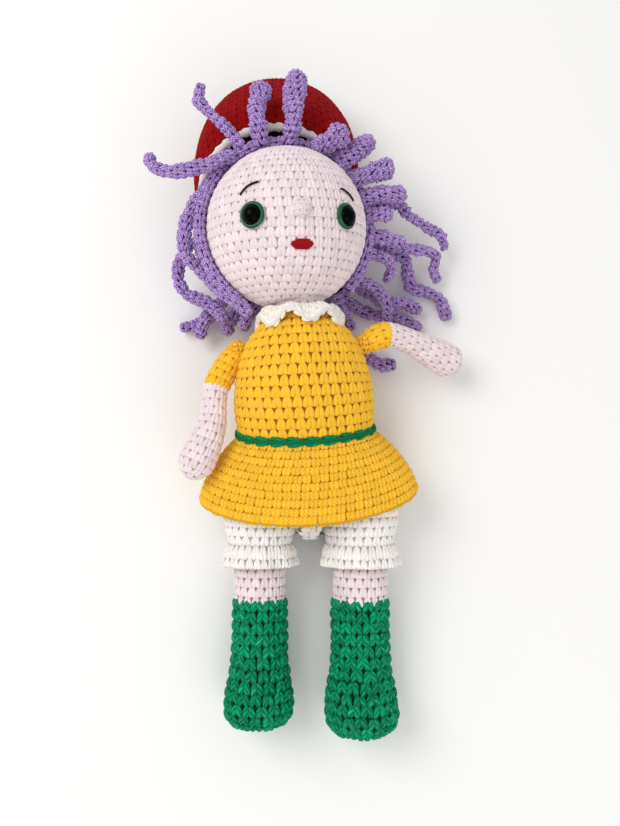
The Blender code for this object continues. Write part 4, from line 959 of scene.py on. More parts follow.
    def build(self, material, body, slot, solid, stuffed=None):
        """Makes the piece, kept above the floor, in place of the solid that it stands for."""
        points = np.vstack(self.points)
        low = points[:, 2] < LOWEST
        points[low, 2] = LOWEST * np.exp(points[low, 2] / LOWEST - 1)
        quads, tris = np.vstack(self.quads), np.vstack(self.tris)
        loops = np.concatenate([quads.ravel(), tris.ravel()])
        starts = np.concatenate([np.arange(len(quads)) * 4, len(quads) * 4 + np.arange(len(tris)) * 3])
        mesh = bpy.data.meshes.new(self.name)
        mesh.vertices.add(len(points))
        mesh.vertices.foreach_set("co", points.astype(np.float32).ravel())
        mesh.loops.add(len(loops))
        mesh.loops.foreach_set("vertex_index", loops.astype(np.int32))
        mesh.polygons.add(len(starts))
        mesh.polygons.foreach_set("loop_start", starts.astype(np.int32))
        layer = mesh.uv_layers.new(name="Strands")
        layer.data.foreach_set("uv", np.vstack(self.uv)[loops].astype(np.float32).ravel())
        for name, values in (("rise", self.rise), ("tone", self.tone)):
            made = mesh.attributes.new(name, "FLOAT", "POINT")
            made.data.foreach_set("value", np.concatenate(values).astype(np.float32))
        mesh.update(calc_edges=True)
        mesh.validate()
        mesh.shade_smooth()
        mesh.materials.append(material)
        finish_piece(add_object(self.name, mesh), body, solid)


def settings():
    scene = bpy.context.scene
    return scene.doll_sizes, scene.doll_colours


def add_object(name, data):
    made = bpy.data.objects.new(name, data)
    bpy.context.scene.collection.objects.link(made)
    return made


def finish_piece(made, body, solid):
    """Ties a finished piece to its body and the solid that it stands for."""
    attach(made, body)
    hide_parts(solid)


def work_piece(name, rings, stitch, row, material, place, stuffed=None, **how):
    """Works a piece of one surface. Its place is its body, its material slot and its solid; the slot is not
    used.
    """
    work = Yarnwork(name)
    work.crochet(Surface(rings), stitch, row, **how)
    work.build(material, *place, stuffed)


# Materials

YARN_INPUTS = {
    "Colour": (0.8, 0.8, 0.8, 1.0),
    "Painted shade in gaps": (0.2, 0.2, 0.2, 1.0),
    "Painted shade in grooves": (0.4, 0.4, 0.4, 1.0),
    "Fleck colour": (1.0, 1.0, 1.0, 1.0),
    "Plies": 3.0,
    "Twist": 2.2,
    "Unevenness": 0.12,
    "Flecks": 0.2,
}
YARN_OUTPUTS = {"Colour": "NodeSocketColor", "Roughness": "NodeSocketFloat", "Height": "NodeSocketFloat"}
# Up to this share of a stitch's height the yarn takes the painted shade that stands for the shade deep
# between the stitches
PAINTED_SHADE_RISE = 0.45
# Width of the painted shade in the grooves between the plies, as a share of each ply's height
GROOVE_SHADE_WIDTH = 0.7
FIBRE_SCALE = 1600.0
FIBRE_HEIGHT = 0.55
FIBRE_SMOOTHEST = 0.72
FLECK_SCALE = 1.6
FLECK_NARROWING = 2.5
FLECK_SPREAD = 40.0
FLECK_RANGE = {"From Min": 0.56, "From Max": 0.72}
PLIES_BUMP = 0.8
YARN_GLOSS = 0.12


def feed(tree, target, inputs):
    """Gives a node's inputs their values, or links them to other nodes' outputs."""
    for key, value in inputs.items():
        if isinstance(value, bpy.types.NodeSocket):
            tree.links.new(value, target.inputs[key])
        else:
            target.inputs[key].default_value = value


def node(tree, kind, inputs=None, **options):
    made = tree.nodes.new(kind)
    for key, value in options.items():
        setattr(made, key, value)
    feed(tree, made, inputs or {})
    return made


def maths(tree, operation, *values):
    return node(tree, "ShaderNodeMath", dict(enumerate(values)), operation=operation).outputs[0]


def mix(tree, factor, first, second):
    """The first colour where the factor is 0, the second where it is 1."""
    inputs = {"Factor": factor, 6: first, 7: second}
    return node(tree, "ShaderNodeMix", inputs, data_type="RGBA").outputs[2]


def ranged(tree, value, limits, **options):
    """A value mapped from 0 to 1 onto 0 to 1, apart from the limits given."""
    return node(tree, "ShaderNodeMapRange", {"Value": value, **limits}, **options).outputs[0]


def noise(tree, place, scale, detail, roughness):
    inputs = {"Vector": place, "Scale": scale, "Detail": detail, "Roughness": roughness}
    return node(tree, "ShaderNodeTexNoise", inputs).outputs[0]


def plied_yarn_group():
    """Colour, roughness and height of yarn spun of several plies, with painted shade deep between the
    stitches and in the grooves between the plies.
    """
    found = bpy.data.node_groups.get("Plied yarn")
    if found:
        return found
    tree = bpy.data.node_groups.new("Plied yarn", "ShaderNodeTree")
    for name, value in YARN_INPUTS.items():
        kind = "NodeSocketFloat" if isinstance(value, float) else "NodeSocketColor"
        tree.interface.new_socket(name=name, in_out="INPUT", socket_type=kind).default_value = value
    for name, kind in YARN_OUTPUTS.items():
        tree.interface.new_socket(name=name, in_out="OUTPUT", socket_type=kind)
    given = tree.nodes.new("NodeGroupInput").outputs
    strands = node(tree, "ShaderNodeUVMap", uv_map="Strands").outputs[0]
    around, along, _ = node(tree, "ShaderNodeSeparateXYZ", {0: strands}).outputs
    place = node(tree, "ShaderNodeTexCoord").outputs["Object"]
    # A point's rise is its height within its stitch; low points take the painted shade
    rise = node(tree, "ShaderNodeAttribute", attribute_name="rise").outputs["Fac"]
    tone = node(tree, "ShaderNodeAttribute", attribute_name="tone").outputs["Fac"]

    twisted = maths(tree, "MULTIPLY", along, given["Twist"])
    phase = maths(tree, "ADD", maths(tree, "MULTIPLY", around, given["Plies"]), twisted)
    ply = maths(tree, "ABSOLUTE", maths(tree, "SINE", maths(tree, "MULTIPLY", phase, math.pi)))
    fibre = noise(tree, place, FIBRE_SCALE, 4.0, 0.7)
    height = maths(tree, "MULTIPLY_ADD", fibre, FIBRE_HEIGHT, ply)

    # Painted shade: low parts of the stitches, and the cloth behind them, take a darker colour that stands
    # for the shade falling between the stitches
    clear_of_painted_shade = ranged(tree, rise, {"From Max": PAINTED_SHADE_RISE}, interpolation_type="SMOOTHSTEP")
    # Painted shade: the grooves between the plies take a darker colour, as well as the bump's relief
    spun = ranged(tree, ply, {"From Max": GROOVE_SHADE_WIDTH}, interpolation_type="SMOOTHSTEP")
    strand = mix(tree, spun, given["Painted shade in grooves"], given["Colour"])
    with_painted_shade = mix(tree, clear_of_painted_shade, given["Painted shade in gaps"], strand)
    shade = ranged(tree, tone, {"To Min": maths(tree, "SUBTRACT", 1.0, given["Unevenness"])})
    toned = node(tree, "ShaderNodeVectorMath", {0: with_painted_shade, "Scale": shade}, operation="SCALE").outputs[0]

    narrow = maths(tree, "MULTIPLY", phase, FLECK_NARROWING)
    apart = maths(tree, "MULTIPLY", tone, FLECK_SPREAD)
    fibres = node(tree, "ShaderNodeCombineXYZ", {0: narrow, 1: along, 2: apart}).outputs[0]
    chosen = ranged(tree, noise(tree, fibres, FLECK_SCALE, 3.0, 0.65), FLECK_RANGE)
    amount = maths(tree, "MULTIPLY", maths(tree, "MULTIPLY", chosen, given["Flecks"]), clear_of_painted_shade)
    node(tree, "NodeGroupOutput", {
        "Colour": mix(tree, amount, toned, given["Fleck colour"]),
        "Roughness": ranged(tree, fibre, {"To Min": FIBRE_SMOOTHEST}),
        "Height": height,
    })
    return tree


def new_material(name):
    """A material with its node tree and its shader."""
    made = bpy.data.materials.new(name)
    made.use_nodes = True
    return made, made.node_tree, made.node_tree.nodes["Principled BSDF"]


def yarn(name, tint, painted_shade_share=0.42, painted_shade_tint=None, groove_shade_share=0.86, painted_groove_tint=None, fleck=1.25, flecks=0.25,
         plies=5.0, twist=2.2, unevenness=0.12, sheen=0.08, depth=1.0):
    """A yarn material, with painted shade deep between the stitches and in the grooves between the plies.
    """
    sizes, _ = settings()
    made, tree, shader = new_material(name)
    base = np.array(tint)
    # Painted shade: a darker colour deep between the stitches, and a darker colour in the grooves between
    # the plies
    deep = base * painted_shade_share if painted_shade_tint is None else linear(painted_shade_tint)
    dark = base * groove_shade_share if painted_groove_tint is None else linear(painted_groove_tint)
    group = node(tree, "ShaderNodeGroup", {
        "Colour": (*base, 1.0),
        "Painted shade in gaps": (*deep, 1.0),
        "Painted shade in grooves": (*dark, 1.0),
        "Fleck colour": (*np.clip(base * fleck + 0.02, 0, 1), 1.0),
        "Plies": plies,
        "Twist": twist,
        "Unevenness": unevenness,
        "Flecks": flecks,
    }, node_tree=plied_yarn_group()).outputs
    bump = {"Height": group["Height"], "Strength": PLIES_BUMP, "Distance": sizes.ply_depth * depth}
    feed(tree, shader, {
        "Base Color": group["Colour"],
        "Roughness": group["Roughness"],
        "Normal": node(tree, "ShaderNodeBump", bump).outputs[0],
        "Sheen Weight": sheen,
        "Sheen Roughness": 0.5,
        "Specular IOR Level": YARN_GLOSS,
    })
    return made


def plastic(name, tint, roughness, gloss=0.5, flecks=0.0):
    """Moulded plastic with a faint unevenness, for the eyes and their washers."""
    made, tree, shader = new_material(name)
    grain = noise(tree, node(tree, "ShaderNodeTexCoord").outputs["Object"], 900.0, 2.0, 0.5)
    tint = np.array(tint)
    dark, light = tint * (1 - flecks), np.clip(tint * (1 + flecks) + flecks * 0.02, 0, 1)
    feed(tree, shader, {
        "Base Color": mix(tree, grain, (*dark, 1.0), (*light, 1.0)),
        "Roughness": ranged(tree, grain, {"To Min": roughness * 0.8, "To Max": roughness * 1.2}),
        "Specular IOR Level": gloss,
    })
    return made


# Pieces

class DOLL_OT_stage(Operator):
    """Lays the plain floor and sets the camera, the lamps and the world"""
    bl_idname = "doll.stage"
    bl_label = "Stage"

    def execute(self, context):
        scene = context.scene
        _, colours = settings()
        mesh = bpy.data.meshes.new("floor")
        corners = ((-1, -1), (1, -1), (1, 1), (-1, 1))
        mesh.from_pydata([(x * FLOOR_REACH, y * FLOOR_REACH, 0) for x, y in corners], [], [(0, 1, 2, 3)])
        material, tree, shader = new_material("floor")
        feed(tree, shader, {"Base Color": (*colours.floor, 1.0), "Roughness": 0.9})
        mesh.materials.append(material)
        floor = add_object("floor", mesh)
        floor.location.z = -FLOOR_DEPTH

        lens = bpy.data.cameras.new("camera")
        lens.sensor_fit = "VERTICAL"
        lens.sensor_height = SENSOR_HEIGHT
        lens.lens = FOCAL_PIXELS / PHOTO_HEIGHT * SENSOR_HEIGHT
        lens.clip_start = 0.01
        lens.dof.use_dof = False
        camera = add_object("camera", lens)
        camera.location = CAMERA_PLACE + ORIGIN
        camera.rotation_euler = (CAMERA_TILT, 0.0, 0.0)
        scene.camera = camera

        for name, (place, width, power) in LAMPS.items():
            light = bpy.data.lights.new(name, "AREA")
            light.shape = "DISK"
            light.size = width
            light.energy = power
            lamp = add_object(name, light)
            lamp.location = place
            lamp.rotation_euler = (-Vector(place)).to_track_quat("-Z", "Y").to_euler()
        world = bpy.data.worlds.new("room")
        world.use_nodes = True
        ground = world.node_tree.nodes["Background"]
        feed(world.node_tree, ground, {"Color": (1.0, 1.0, 1.0, 1.0), "Strength": ROOM_LIGHT})
        scene.world = world
        scene.view_settings.view_transform = "Standard"
        return {"FINISHED"}


class DOLL_OT_bodice(Operator):
    """Works the bodice"""
    bl_idname = "doll.bodice"
    bl_label = "Bodice"

    def execute(self, context):
        sizes, colours = settings()
        belly = BODICE_HEIGHT * math.tan(WAIST_TILT) / 4
        route = Route([(0, BODICE_HEIGHT * along, belly * out) for along, out in BODICE_ROUTE_SHARES])
        sections = [(s, BODICE_HALF_WIDTH * w, BODICE_HALF_DEPTH * d) for s, w, d in BODICE_SHARES]
        # Painted shade: the brown tint between the stitches stands for shade
        gold = yarn("bodice yarn", colours.golden, painted_shade_tint="9A5404")
        work_piece("bodice_stitches", placed(TORSO, swept_rings(route, sections, (1, 0, 0))),
                   sizes.body_stitch, sizes.body_row, gold, ("trunk", "golden_yarn", "torso"), 0.9,
                   lean=0.12)
        return {"FINISHED"}


TORSO_UP = np.array(TORSO.to_3x3()) @ np.array([0.0, 1.0, 0.0])


def waist_points(count, grow=0.0):
    """Points round the waist, in the torso's frame."""
    angles = round_angles(count)
    width = BODICE_HALF_WIDTH * BODICE_SHARES[0][1] + grow
    rise = (BODICE_HALF_DEPTH * BODICE_SHARES[0][2] + grow) * np.sin(angles)
    return np.stack([width * np.cos(angles), -rise * math.sin(WAIST_TILT), rise * math.cos(WAIST_TILT)], -1)


class DOLL_OT_belt(Operator):
    """Works the belt as one chain round the waist"""
    bl_idname = "doll.belt"
    bl_label = "Belt"

    def execute(self, context):
        _, colours = settings()
        points = waist_points(BELT_POINTS, BELT_RADIUS * BELT_PROUD_SHARE)
        middle = np.array(TORSO.translation)

        def outward(at):
            away = at - middle
            return unit(away - TORSO_UP * (away @ TORSO_UP)[..., None])

        work = Yarnwork("belt_chain")
        work.chain(Route(placed(TORSO, points), closed=True), BELT_LINK, BELT_WIDTH, outward, 0.2)
        # Painted shade between the links and in the grooves between the plies
        green = yarn("belt yarn", colours.belt, painted_shade_share=0.2, groove_shade_share=0.5, sheen=0.0)
        work.build(green, "trunk", "belt_yarn", "belt")
        return {"FINISHED"}


def skirt_rings():
    """Rings of the skirt from the waist to the hem, with the cloth's length kept."""
    start = waist_points(COLUMNS) + np.array([0, -GAP, 0])
    start = placed(turned((0, 0, 0), (TORSO_PITCH, 0, 0)), start)
    side, front = (v[:, 0] for v in ring_shares(BACK_FLATNESS))
    forward = front > 0
    hem_x = HEM_HALF_WIDTH * side
    hem_z = np.where(forward, start[:, 2] - HEM_FRONT_DROP * front, (WAIST_PLACE.z + FLOOR_CUT) * front)
    turn = math.pi / 2 * SKIRT_FLARE_TURN_SHARE
    rings, y = [start], start[:, 1]
    for row in range(1, SKIRT_STEPS + 1):
        flare = math.sin(turn * row / SKIRT_STEPS) / math.sin(turn)
        sink = np.where(forward, row / SKIRT_STEPS, min(1.0, 2.0 * row / SKIRT_STEPS))
        x = start[:, 0] + (hem_x - start[:, 0]) * flare
        z = start[:, 2] + (hem_z - start[:, 2]) * sink
        run = np.hypot(x - rings[-1][:, 0], z - rings[-1][:, 2])
        y = y - np.sqrt(np.maximum((SKIRT_LENGTH / SKIRT_STEPS) ** 2 - run ** 2, 0.0))
        rings.append(np.stack([x, y, z], -1))
    return placed(HANG, smooth(rings, 5))


def nearest(points, values):
    """A function that gives the value of the nearest of the points."""
    def find(at):
        return values[np.linalg.norm(at[..., None, :] - points, axis=-1).argmin(-1)]
    return find


class DOLL_OT_skirt(Operator):
    """Works the flared skirt, inside and out, and the chain along its hem"""
    bl_idname = "doll.skirt"
    bl_label = "Skirt"

    def execute(self, context):
        sizes, colours = settings()
        work = Yarnwork("skirt_stitches")
        outer = Surface(skirt_rings())
        work.crochet(outer, sizes.skirt_stitch, sizes.skirt_row, kind=SQUARE, closed=False)
        work.lining(outer, SKIRT_THICKNESS, sizes.body_stitch, sizes.body_row)
        hem = outer.grid[-1] - outer.normal[-1] * SKIRT_THICKNESS / 2
        down = np.array([0.0, -HEM_CHAIN_DOWN, 0.0])
        work.chain(Route(hem, closed=True), HEM_LINK, HEM_CHAIN_WIDTH,
                   nearest(hem, outer.normal[-1] + down), 0.2)
        # Painted shade: the brown tint between the stitches stands for shade
        gold = yarn("skirt yarn", colours.golden, painted_shade_tint="A8620A", groove_shade_share=0.8)
        work.build(gold, "trunk", "golden_yarn", "skirt")
        return {"FINISHED"}


def cream_yarn(name):
    _, colours = settings()
    # Painted shade, faint, between the stitches and in the grooves between the plies
    return yarn(name, colours.cream, painted_shade_share=0.8, groove_shade_share=0.95, flecks=0.1)


class DOLL_OT_collar(Operator):
    """Works the frilled collar round the neck"""
    bl_idname = "doll.collar"
    bl_label = "Collar"

    def execute(self, context):
        work = Yarnwork("collar_stitches")
        angles = round_angles(COLUMNS * 2)
        rings = []
        for at in np.linspace(0.0, 1.0, 9):
            radius = COLLAR_RADIUS * (COLLAR_INNER_SHARE + (1 - COLLAR_INNER_SHARE) * at)
            wave = COLLAR_WAVE_HEIGHT * at * np.cos(COLLAR_WAVES * angles)
            droop = (COLLAR_DROOP + COLLAR_SIDE_DROOP * np.cos(angles) ** 2) * at ** 2
            height = BODICE_HEIGHT + COLLAR_THICKNESS / 2 + COLLAR_GAP - droop + wave
            rings.append(waved_ring(angles, radius, height))
        rings = placed(TORSO, rings)
        surface = Surface(rings)
        if (surface.normal @ TORSO_UP).sum() < 0:
            surface.normal = -surface.normal
        for inward in (False, True):
            work.crochet(surface, COLLAR_STITCH, COLLAR_ROW, kind=SOFT, inward=inward,
                         out=COLLAR_THICKNESS / 2, closed=False, lean=0.0, cloth=not inward)
        middle = placed(TORSO, [(0, BODICE_HEIGHT, 0)])[0]
        work.chain(Route(rings[-1], closed=True), COLLAR_LINK, COLLAR_CHAIN_WIDTH,
                   lambda at: unit(at - middle), 0.24)
        work.build(cream_yarn("collar yarn"), "trunk", "cream_yarn", "collar")
        return {"FINISHED"}


class DOLL_OT_hips(Operator):
    """Works the white seat of the bloomers"""
    bl_idname = "doll.hips"
    bl_label = "Seat of the bloomers"

    def execute(self, context):
        sizes, colours = settings()
        knots, wide, deep, raised = np.array(PELVIS_SHARES).T
        low, high = knots[0], knots[-1]
        rings = []
        for shrink in np.linspace(0.06, 0.94, 6):
            end = PELVIS_HEIGHT * low - SEAT_BULGE * math.sqrt(1 - shrink ** 2)
            half_width, half_depth = PELVIS_HALF_WIDTH * wide[0] * shrink, HIP_RADIUS * deep[0] * shrink
            rings.append(level((0, end, 0), half_width, half_depth))
        for at in np.linspace(low, high, 45):
            width, depth, lift = between(PELVIS_SHARES, at)
            centre = (WAIST_ASIDE * max(at, 0.0), PELVIS_HEIGHT * at, PELVIS_HEIGHT * lift)
            rings.append(level(centre, PELVIS_HALF_WIDTH * width, HIP_RADIUS * depth))
        hips = np.array(HIPS.translation)

        def outside_sockets(points):
            away = points - hips
            round_hip = np.hypot(away[..., 1], away[..., 2]) < HIP_RADIUS + GAP
            return ~(round_hip & (np.abs(away[..., 0]) > CROTCH_HALF_WIDTH))

        def inside_seat(points):
            x, y, z = np.moveaxis(points - hips, -1, 0)
            at = y / PELVIS_HEIGHT
            aside = x - WAIST_ASIDE * np.maximum(at, 0.0)
            across = aside / (PELVIS_HALF_WIDTH * np.interp(at, knots, wide))
            lift = z - PELVIS_HEIGHT * np.interp(at, knots, raised)
            rise = lift / (HIP_RADIUS * np.interp(at, knots, deep))
            return (np.hypot(across, rise) < SOCKET_SHARE) & (at > low) & (at < high)

        def socket_ring(x, radius):
            return ring((x, 0, 0), (0, 1, 0), (0, 0, 1), radius, radius)

        work = Yarnwork("seat_stitches")
        work.crochet(Surface(placed(HIPS, rings)), sizes.limb_stitch * SEAT_STITCH_SHARE,
                     sizes.limb_row * SEAT_STITCH_SHARE, kind=FLAT, keep=outside_sockets, out=0.1 * MM,
                     closed=False)
        for side in (-1, 1):
            wall = side * CROTCH_HALF_WIDTH
            disc = [socket_ring(wall, radius) for radius in np.linspace(HIP_RADIUS, 0.5 * MM, 14)]
            disc = Surface(placed(HIPS, disc))
            disc.normal[:] = (side, 0, 0)
            roof = [socket_ring(x, HIP_RADIUS) for x in np.linspace(wall, side * PELVIS_HALF_WIDTH, 14)]
            for part, inward in ((disc, False), (Surface(placed(HIPS, roof)), True)):
                work.crochet(part, sizes.limb_stitch, sizes.limb_row, kind=FLAT, keep=inside_seat,
                             inward=inward, flip=side > 0, out=-SOCKET_SUNK, closed=False)
        # Painted shade between the stitches and in the grooves between the plies
        white = yarn("seat yarn", colours.white, painted_shade_share=0.7, flecks=0.1)
        work.build(white, "trunk", "white_yarn", "pelvis", 0.9)
        return {"FINISHED"}


class DOLL_OT_legs(Operator):
    """Works the legs of the bloomers, their ruffles and the bare legs"""
    bl_idname = "doll.legs"
    bl_label = "Legs"

    def execute(self, context):
        sizes, colours = settings()
        # Painted shade: the grey and the pink tints between the stitches stand for shade
        white = yarn("bloomer yarn", colours.white, painted_shade_tint="B4AAAA", groove_shade_share=0.93, flecks=0.15,
                     unevenness=0.08)
        pink = yarn("leg yarn", colours.skin, painted_shade_tint="A07E88", groove_shade_share=0.93, flecks=0.15)
        for name, scale in LEG_SIZES.items():
            self.bloomer(name, scale, sizes, white)
            self.ruffle(name, scale, white)
            self.leg(name, scale, sizes, pink)
        return {"FINISHED"}

    @staticmethod
    def bloomer(name, scale, sizes, material):
        half_width = (LEG_SPACING - CROTCH_HALF_WIDTH - GAP) * min(scale, 1.0)
        cuff = BLOOMER_CUFF_RADIUS * scale
        sections = []
        for angle in np.linspace(BLOOMER_TOP_ANGLE, 0, 5):
            width = half_width * (1 - BLOOMER_NARROWING * math.sin(angle) ** 2)
            sections.append((HIP_RADIUS * math.sin(angle), width, HIP_RADIUS * math.cos(angle)))
        full = BLOOMER_FULLNESS
        sections.append((-BLOOMER_LENGTH * BLOOMER_FULL_SHARE, half_width * full, HIP_RADIUS * full))
        sections.append((-BLOOMER_LENGTH * BLOOMER_GATHER_SHARE, cuff, cuff))
        sections.append((-BLOOMER_LENGTH, cuff, cuff))
        rings = smooth([level((0, y, 0), w, d) for y, w, d in sections], 6)
        work_piece(name + "_bloomer_stitches", placed(HIP[name], rings),
                   sizes.limb_stitch * SEAT_STITCH_SHARE, sizes.limb_row * BLOOMER_ROW_SHARE, material,
                   (name + "_whole_leg", "white_yarn", name + "_bloomer"), 0.85, flip=True)

    @staticmethod
    def ruffle(name, scale, material):
        inner, outer = BLOOMER_CUFF_RADIUS * scale + GAP * 2, RUFFLE_RADIUS * scale
        reach = outer + RUFFLE_THICKNESS - inner
        angles = round_angles(COLUMNS)
        waves = np.cos(RUFFLE_WAVES * angles)
        rings = []
        for at in np.linspace(0, 1, RUFFLE_STEPS):
            radius = inner + reach * math.sin(at * math.pi / 2) + RUFFLE_WAVE_HEIGHT * at * waves
            height = -BLOOMER_LENGTH + RUFFLE_OVERLAP - RUFFLE_LENGTH * at
            rings.append(waved_ring(angles, radius, height))
        for turn in np.linspace(0, math.pi, 7)[1:]:
            radius = outer + RUFFLE_THICKNESS * (0.5 + 0.5 * math.cos(turn)) + RUFFLE_WAVE_HEIGHT * waves
            rings.append(waved_ring(angles, radius, height - RUFFLE_THICKNESS * 0.5 * math.sin(turn)))
        rings = placed(HIP[name], rings)
        work = Yarnwork(name + "_ruffle_stitches")
        work.crochet(Surface(rings), RUFFLE_STITCH, RUFFLE_ROW, kind=BUMPY, flip=True, closed=False)
        work.lining(Surface(rings[:RUFFLE_STEPS]), RUFFLE_THICKNESS, RUFFLE_LINING_STITCH,
                    RUFFLE_LINING_ROW)
        work.build(material, name + "_whole_leg", "white_yarn", name + "_ruffle")

    @staticmethod
    def leg(name, scale, sizes, material):
        top = -BLOOMER_LENGTH - GAP + LEG_HIDDEN
        end = -BLOOMER_LENGTH - GAP - LEG_LENGTH - LEG_SEAT_DEPTH
        wide = LEG_RADIUS * scale
        rings = [level((0, y, 0), wide, wide) for y in np.linspace(top, end, 30)]
        work_piece(name + "_leg_stitches", placed(HIP[name], rings), sizes.limb_stitch,
                   sizes.limb_row * LEG_ROW_SHARE, material,
                   (name + "_whole_leg", "skin_yarn", name + "_leg"), 0.9, flip=True, lean=0.5)


class DOLL_OT_boots(Operator):
    """Works the boots in a thicker yarn"""
    bl_idname = "doll.boots"
    bl_label = "Boots"

    def execute(self, context):
        sizes, colours = settings()
        # Painted shade: a deep dark tint between the stitches, strong in the grooves between the plies
        green = yarn("boot yarn", colours.boot, painted_shade_share=0.1, groove_shade_share=0.4, fleck=3.0, flecks=0.7, twist=1.6,
                     unevenness=0.35, sheen=0.0, depth=2.4)
        for name, scale in LEG_SIZES.items():
            work_piece(name + "_boot_stitches", placed(HIP[name], self.rings(scale)), sizes.boot_stitch,
                       sizes.boot_row, green, (name + "_whole_leg", "boot_yarn", name + "_boot"), 0.9,
                       kind=THICK, lean=0.5, loose=2.0)
        return {"FINISHED"}

    @staticmethod
    def rings(scale):
        """Level rings from the top of the boot to the middle of its sole."""
        top = -BLOOMER_LENGTH - LEG_LENGTH - GAP * 2
        table = [(s, BOOT_TOP_RADIUS * w, BOOT_TOP_RADIUS * d, BOOT_TOP_RADIUS * f)
                 for s, w, d, f in BOOT_SHAFT_SHARES]
        table += [(s, FOOT_HALF_WIDTH * w, FOOT_HALF_LENGTH * d, FOOT_HALF_LENGTH * f)
                  for s, w, d, f in BOOT_FOOT_SHARES]
        marks = [(at, 1.0) for at in np.linspace(0.0, 1.0 - SOLE_SHARE, 50)]
        for turn in np.linspace(0.1, math.pi / 2, 8):
            shrink = SOLE_ROUND_SHARE * (1 - math.cos(turn))
            marks.append((1 - SOLE_SHARE * (1 - math.sin(turn)), 1 - shrink))
        marks += [(1.0, (1 - SOLE_ROUND_SHARE) * left) for left in np.linspace(0.9, 0.04, 9)]
        rings = []
        for at, factor in marks:
            width, depth, forward = (scale * value for value in between(table, at))
            centre = (0.0, top - BOOT_HEIGHT * scale * at, forward)
            rings.append(level(centre, width * factor, depth * factor))
        return rings


class DOLL_OT_arms(Operator):
    """Works the sleeves, the arms and the sewn shoulders"""
    bl_idname = "doll.arms"
    bl_label = "Arms"

    def execute(self, context):
        sizes, colours = settings()
        # Painted shade: the tints between the stitches stand for shade
        gold = yarn("sleeve yarn", colours.golden, painted_shade_tint="C27A12")
        pink = yarn("arm yarn", colours.skin, painted_shade_tint="B8949A", groove_shade_share=0.93, flecks=0.15)
        sections = [(s, ARM_HALF_WIDTH * w, ARM_HALF_WIDTH * d) for s, w, d in ARM_SHARES]
        how = {"kind": SOFT, "flip": True, "lean": 0.5}
        for name, shares in ARM_ROUTE_SHARES.items():
            route = Route(placed(SHOULDER[name], np.array(shares) * ARM_LENGTH))
            sideways = abs(shares[-1][0]) > abs(shares[-1][1])
            across = (0, 1 if name == "right" else -1, 0) if sideways else (1, 0, 0)
            cuff, body = ARM_CUFF_SHARES[name], name + "_whole_arm"
            sleeve = swept_rings(route, sections, across, span=(0.0, cuff),
                                 round_start=SLEEVE_ROUND_SHARE, grow=SLEEVE_EASE)
            work_piece(name + "_sleeve_stitches", sleeve, sizes.limb_stitch, sizes.limb_row, gold,
                       (body, "golden_yarn", name + "_sleeve"), 0.8, **how)
            arm = swept_rings(route, sections, across, span=(cuff - SLEEVE_OVERLAP_SHARE, 1.0),
                              round_end=ARM_ROUND_SHARE)
            work_piece(name + "_arm_stitches", arm, sizes.limb_stitch, sizes.limb_row, pink,
                       (body, "skin_yarn", name + "_arm"), 0.9, **how)
            knot = placed(SHOULDER[name], ball_rings(SHOULDER_KNOT_RADIUS, 24))
            work_piece(name + "_shoulder_stitches", knot, KNOT_STITCH, KNOT_STITCH, gold,
                       (name + "_knot", "golden_yarn", name + "_shoulder_knot"), 0.9, kind=SMALL)
        return {"FINISHED"}


NECK_LINE = unit(np.array(HEAD_CENTRE) - np.array(NECK_PLACE))


def nape_keep(points):
    """True where the wig cap isn't cut open for the neck."""
    away = points - np.array(NECK_PLACE)
    along = away @ NECK_LINE
    side = np.linalg.norm(away - NECK_LINE * along[..., None], axis=-1)
    return ~((side < NAPE_RADIUS) & (along < HEAD_RADIUS / 2))


def face_keep(points):
    """True where the wig cap leaves the head to be seen."""
    back = -np.array(HEAD.to_3x3())[:, 2]
    covered = unit(points - np.array(HEAD_CENTRE)) @ back > math.cos(CAP_EDGE_ANGLE - CAP_COVER)
    return ~(covered & nape_keep(points))


class DOLL_OT_head(Operator):
    """Works the head, the neck and the nose"""
    bl_idname = "doll.head"
    bl_label = "Head"

    def execute(self, context):
        sizes, colours = settings()
        # Painted shade: the tint between the stitches stands for shade
        pink = yarn("head yarn", colours.skin, painted_shade_tint="B8989E", groove_shade_share=0.92, flecks=0.15)
        work_piece("head_stitches", placed(HEAD, ball_rings(HEAD_RADIUS)), sizes.head_stitch,
                   sizes.head_row, pink, ("head_and_hair", "skin_yarn", "head"), 0.95, kind=SOFT,
                   lean=0.12, keep=face_keep, whole_cloth=True)

        low = np.array(NECK_PLACE) - NECK_LINE * NECK_SUNK_MM * MM
        high = np.array(HEAD_CENTRE) - NECK_LINE * HEAD_RADIUS * NECK_TOP_SHARE
        sections = [(share, NECK_RADIUS, NECK_RADIUS) for share in (0.0, 1.0)]
        work_piece("neck_stitches", swept_rings(Route([low, high]), sections, (1, 0, 0)),
                   sizes.limb_stitch, sizes.limb_row, pink, ("neck_post", "skin_yarn", "neck"), 0.95,
                   kind=FLAT)

        out = turned((0, 0, HEAD_RADIUS - NOSE_RADIUS * NOSE_SUNK_SHARE))
        nose = placed(face_frame(0.0, NOSE_ELEVATION) @ out, ball_rings(NOSE_RADIUS, 30))
        # Painted shade: a paler tint between the stitches stands for shade
        pale = yarn("nose yarn", colours.skin, painted_shade_tint="D8BCC2", groove_shade_share=0.95, flecks=0.15)
        work_piece("nose_stitches", nose, NOSE_STITCH, NOSE_ROW, pale,
                   ("head_and_hair", "skin_yarn", "nose"), 0.9, kind=FLAT, out=0.1 * MM)
        return {"FINISHED"}


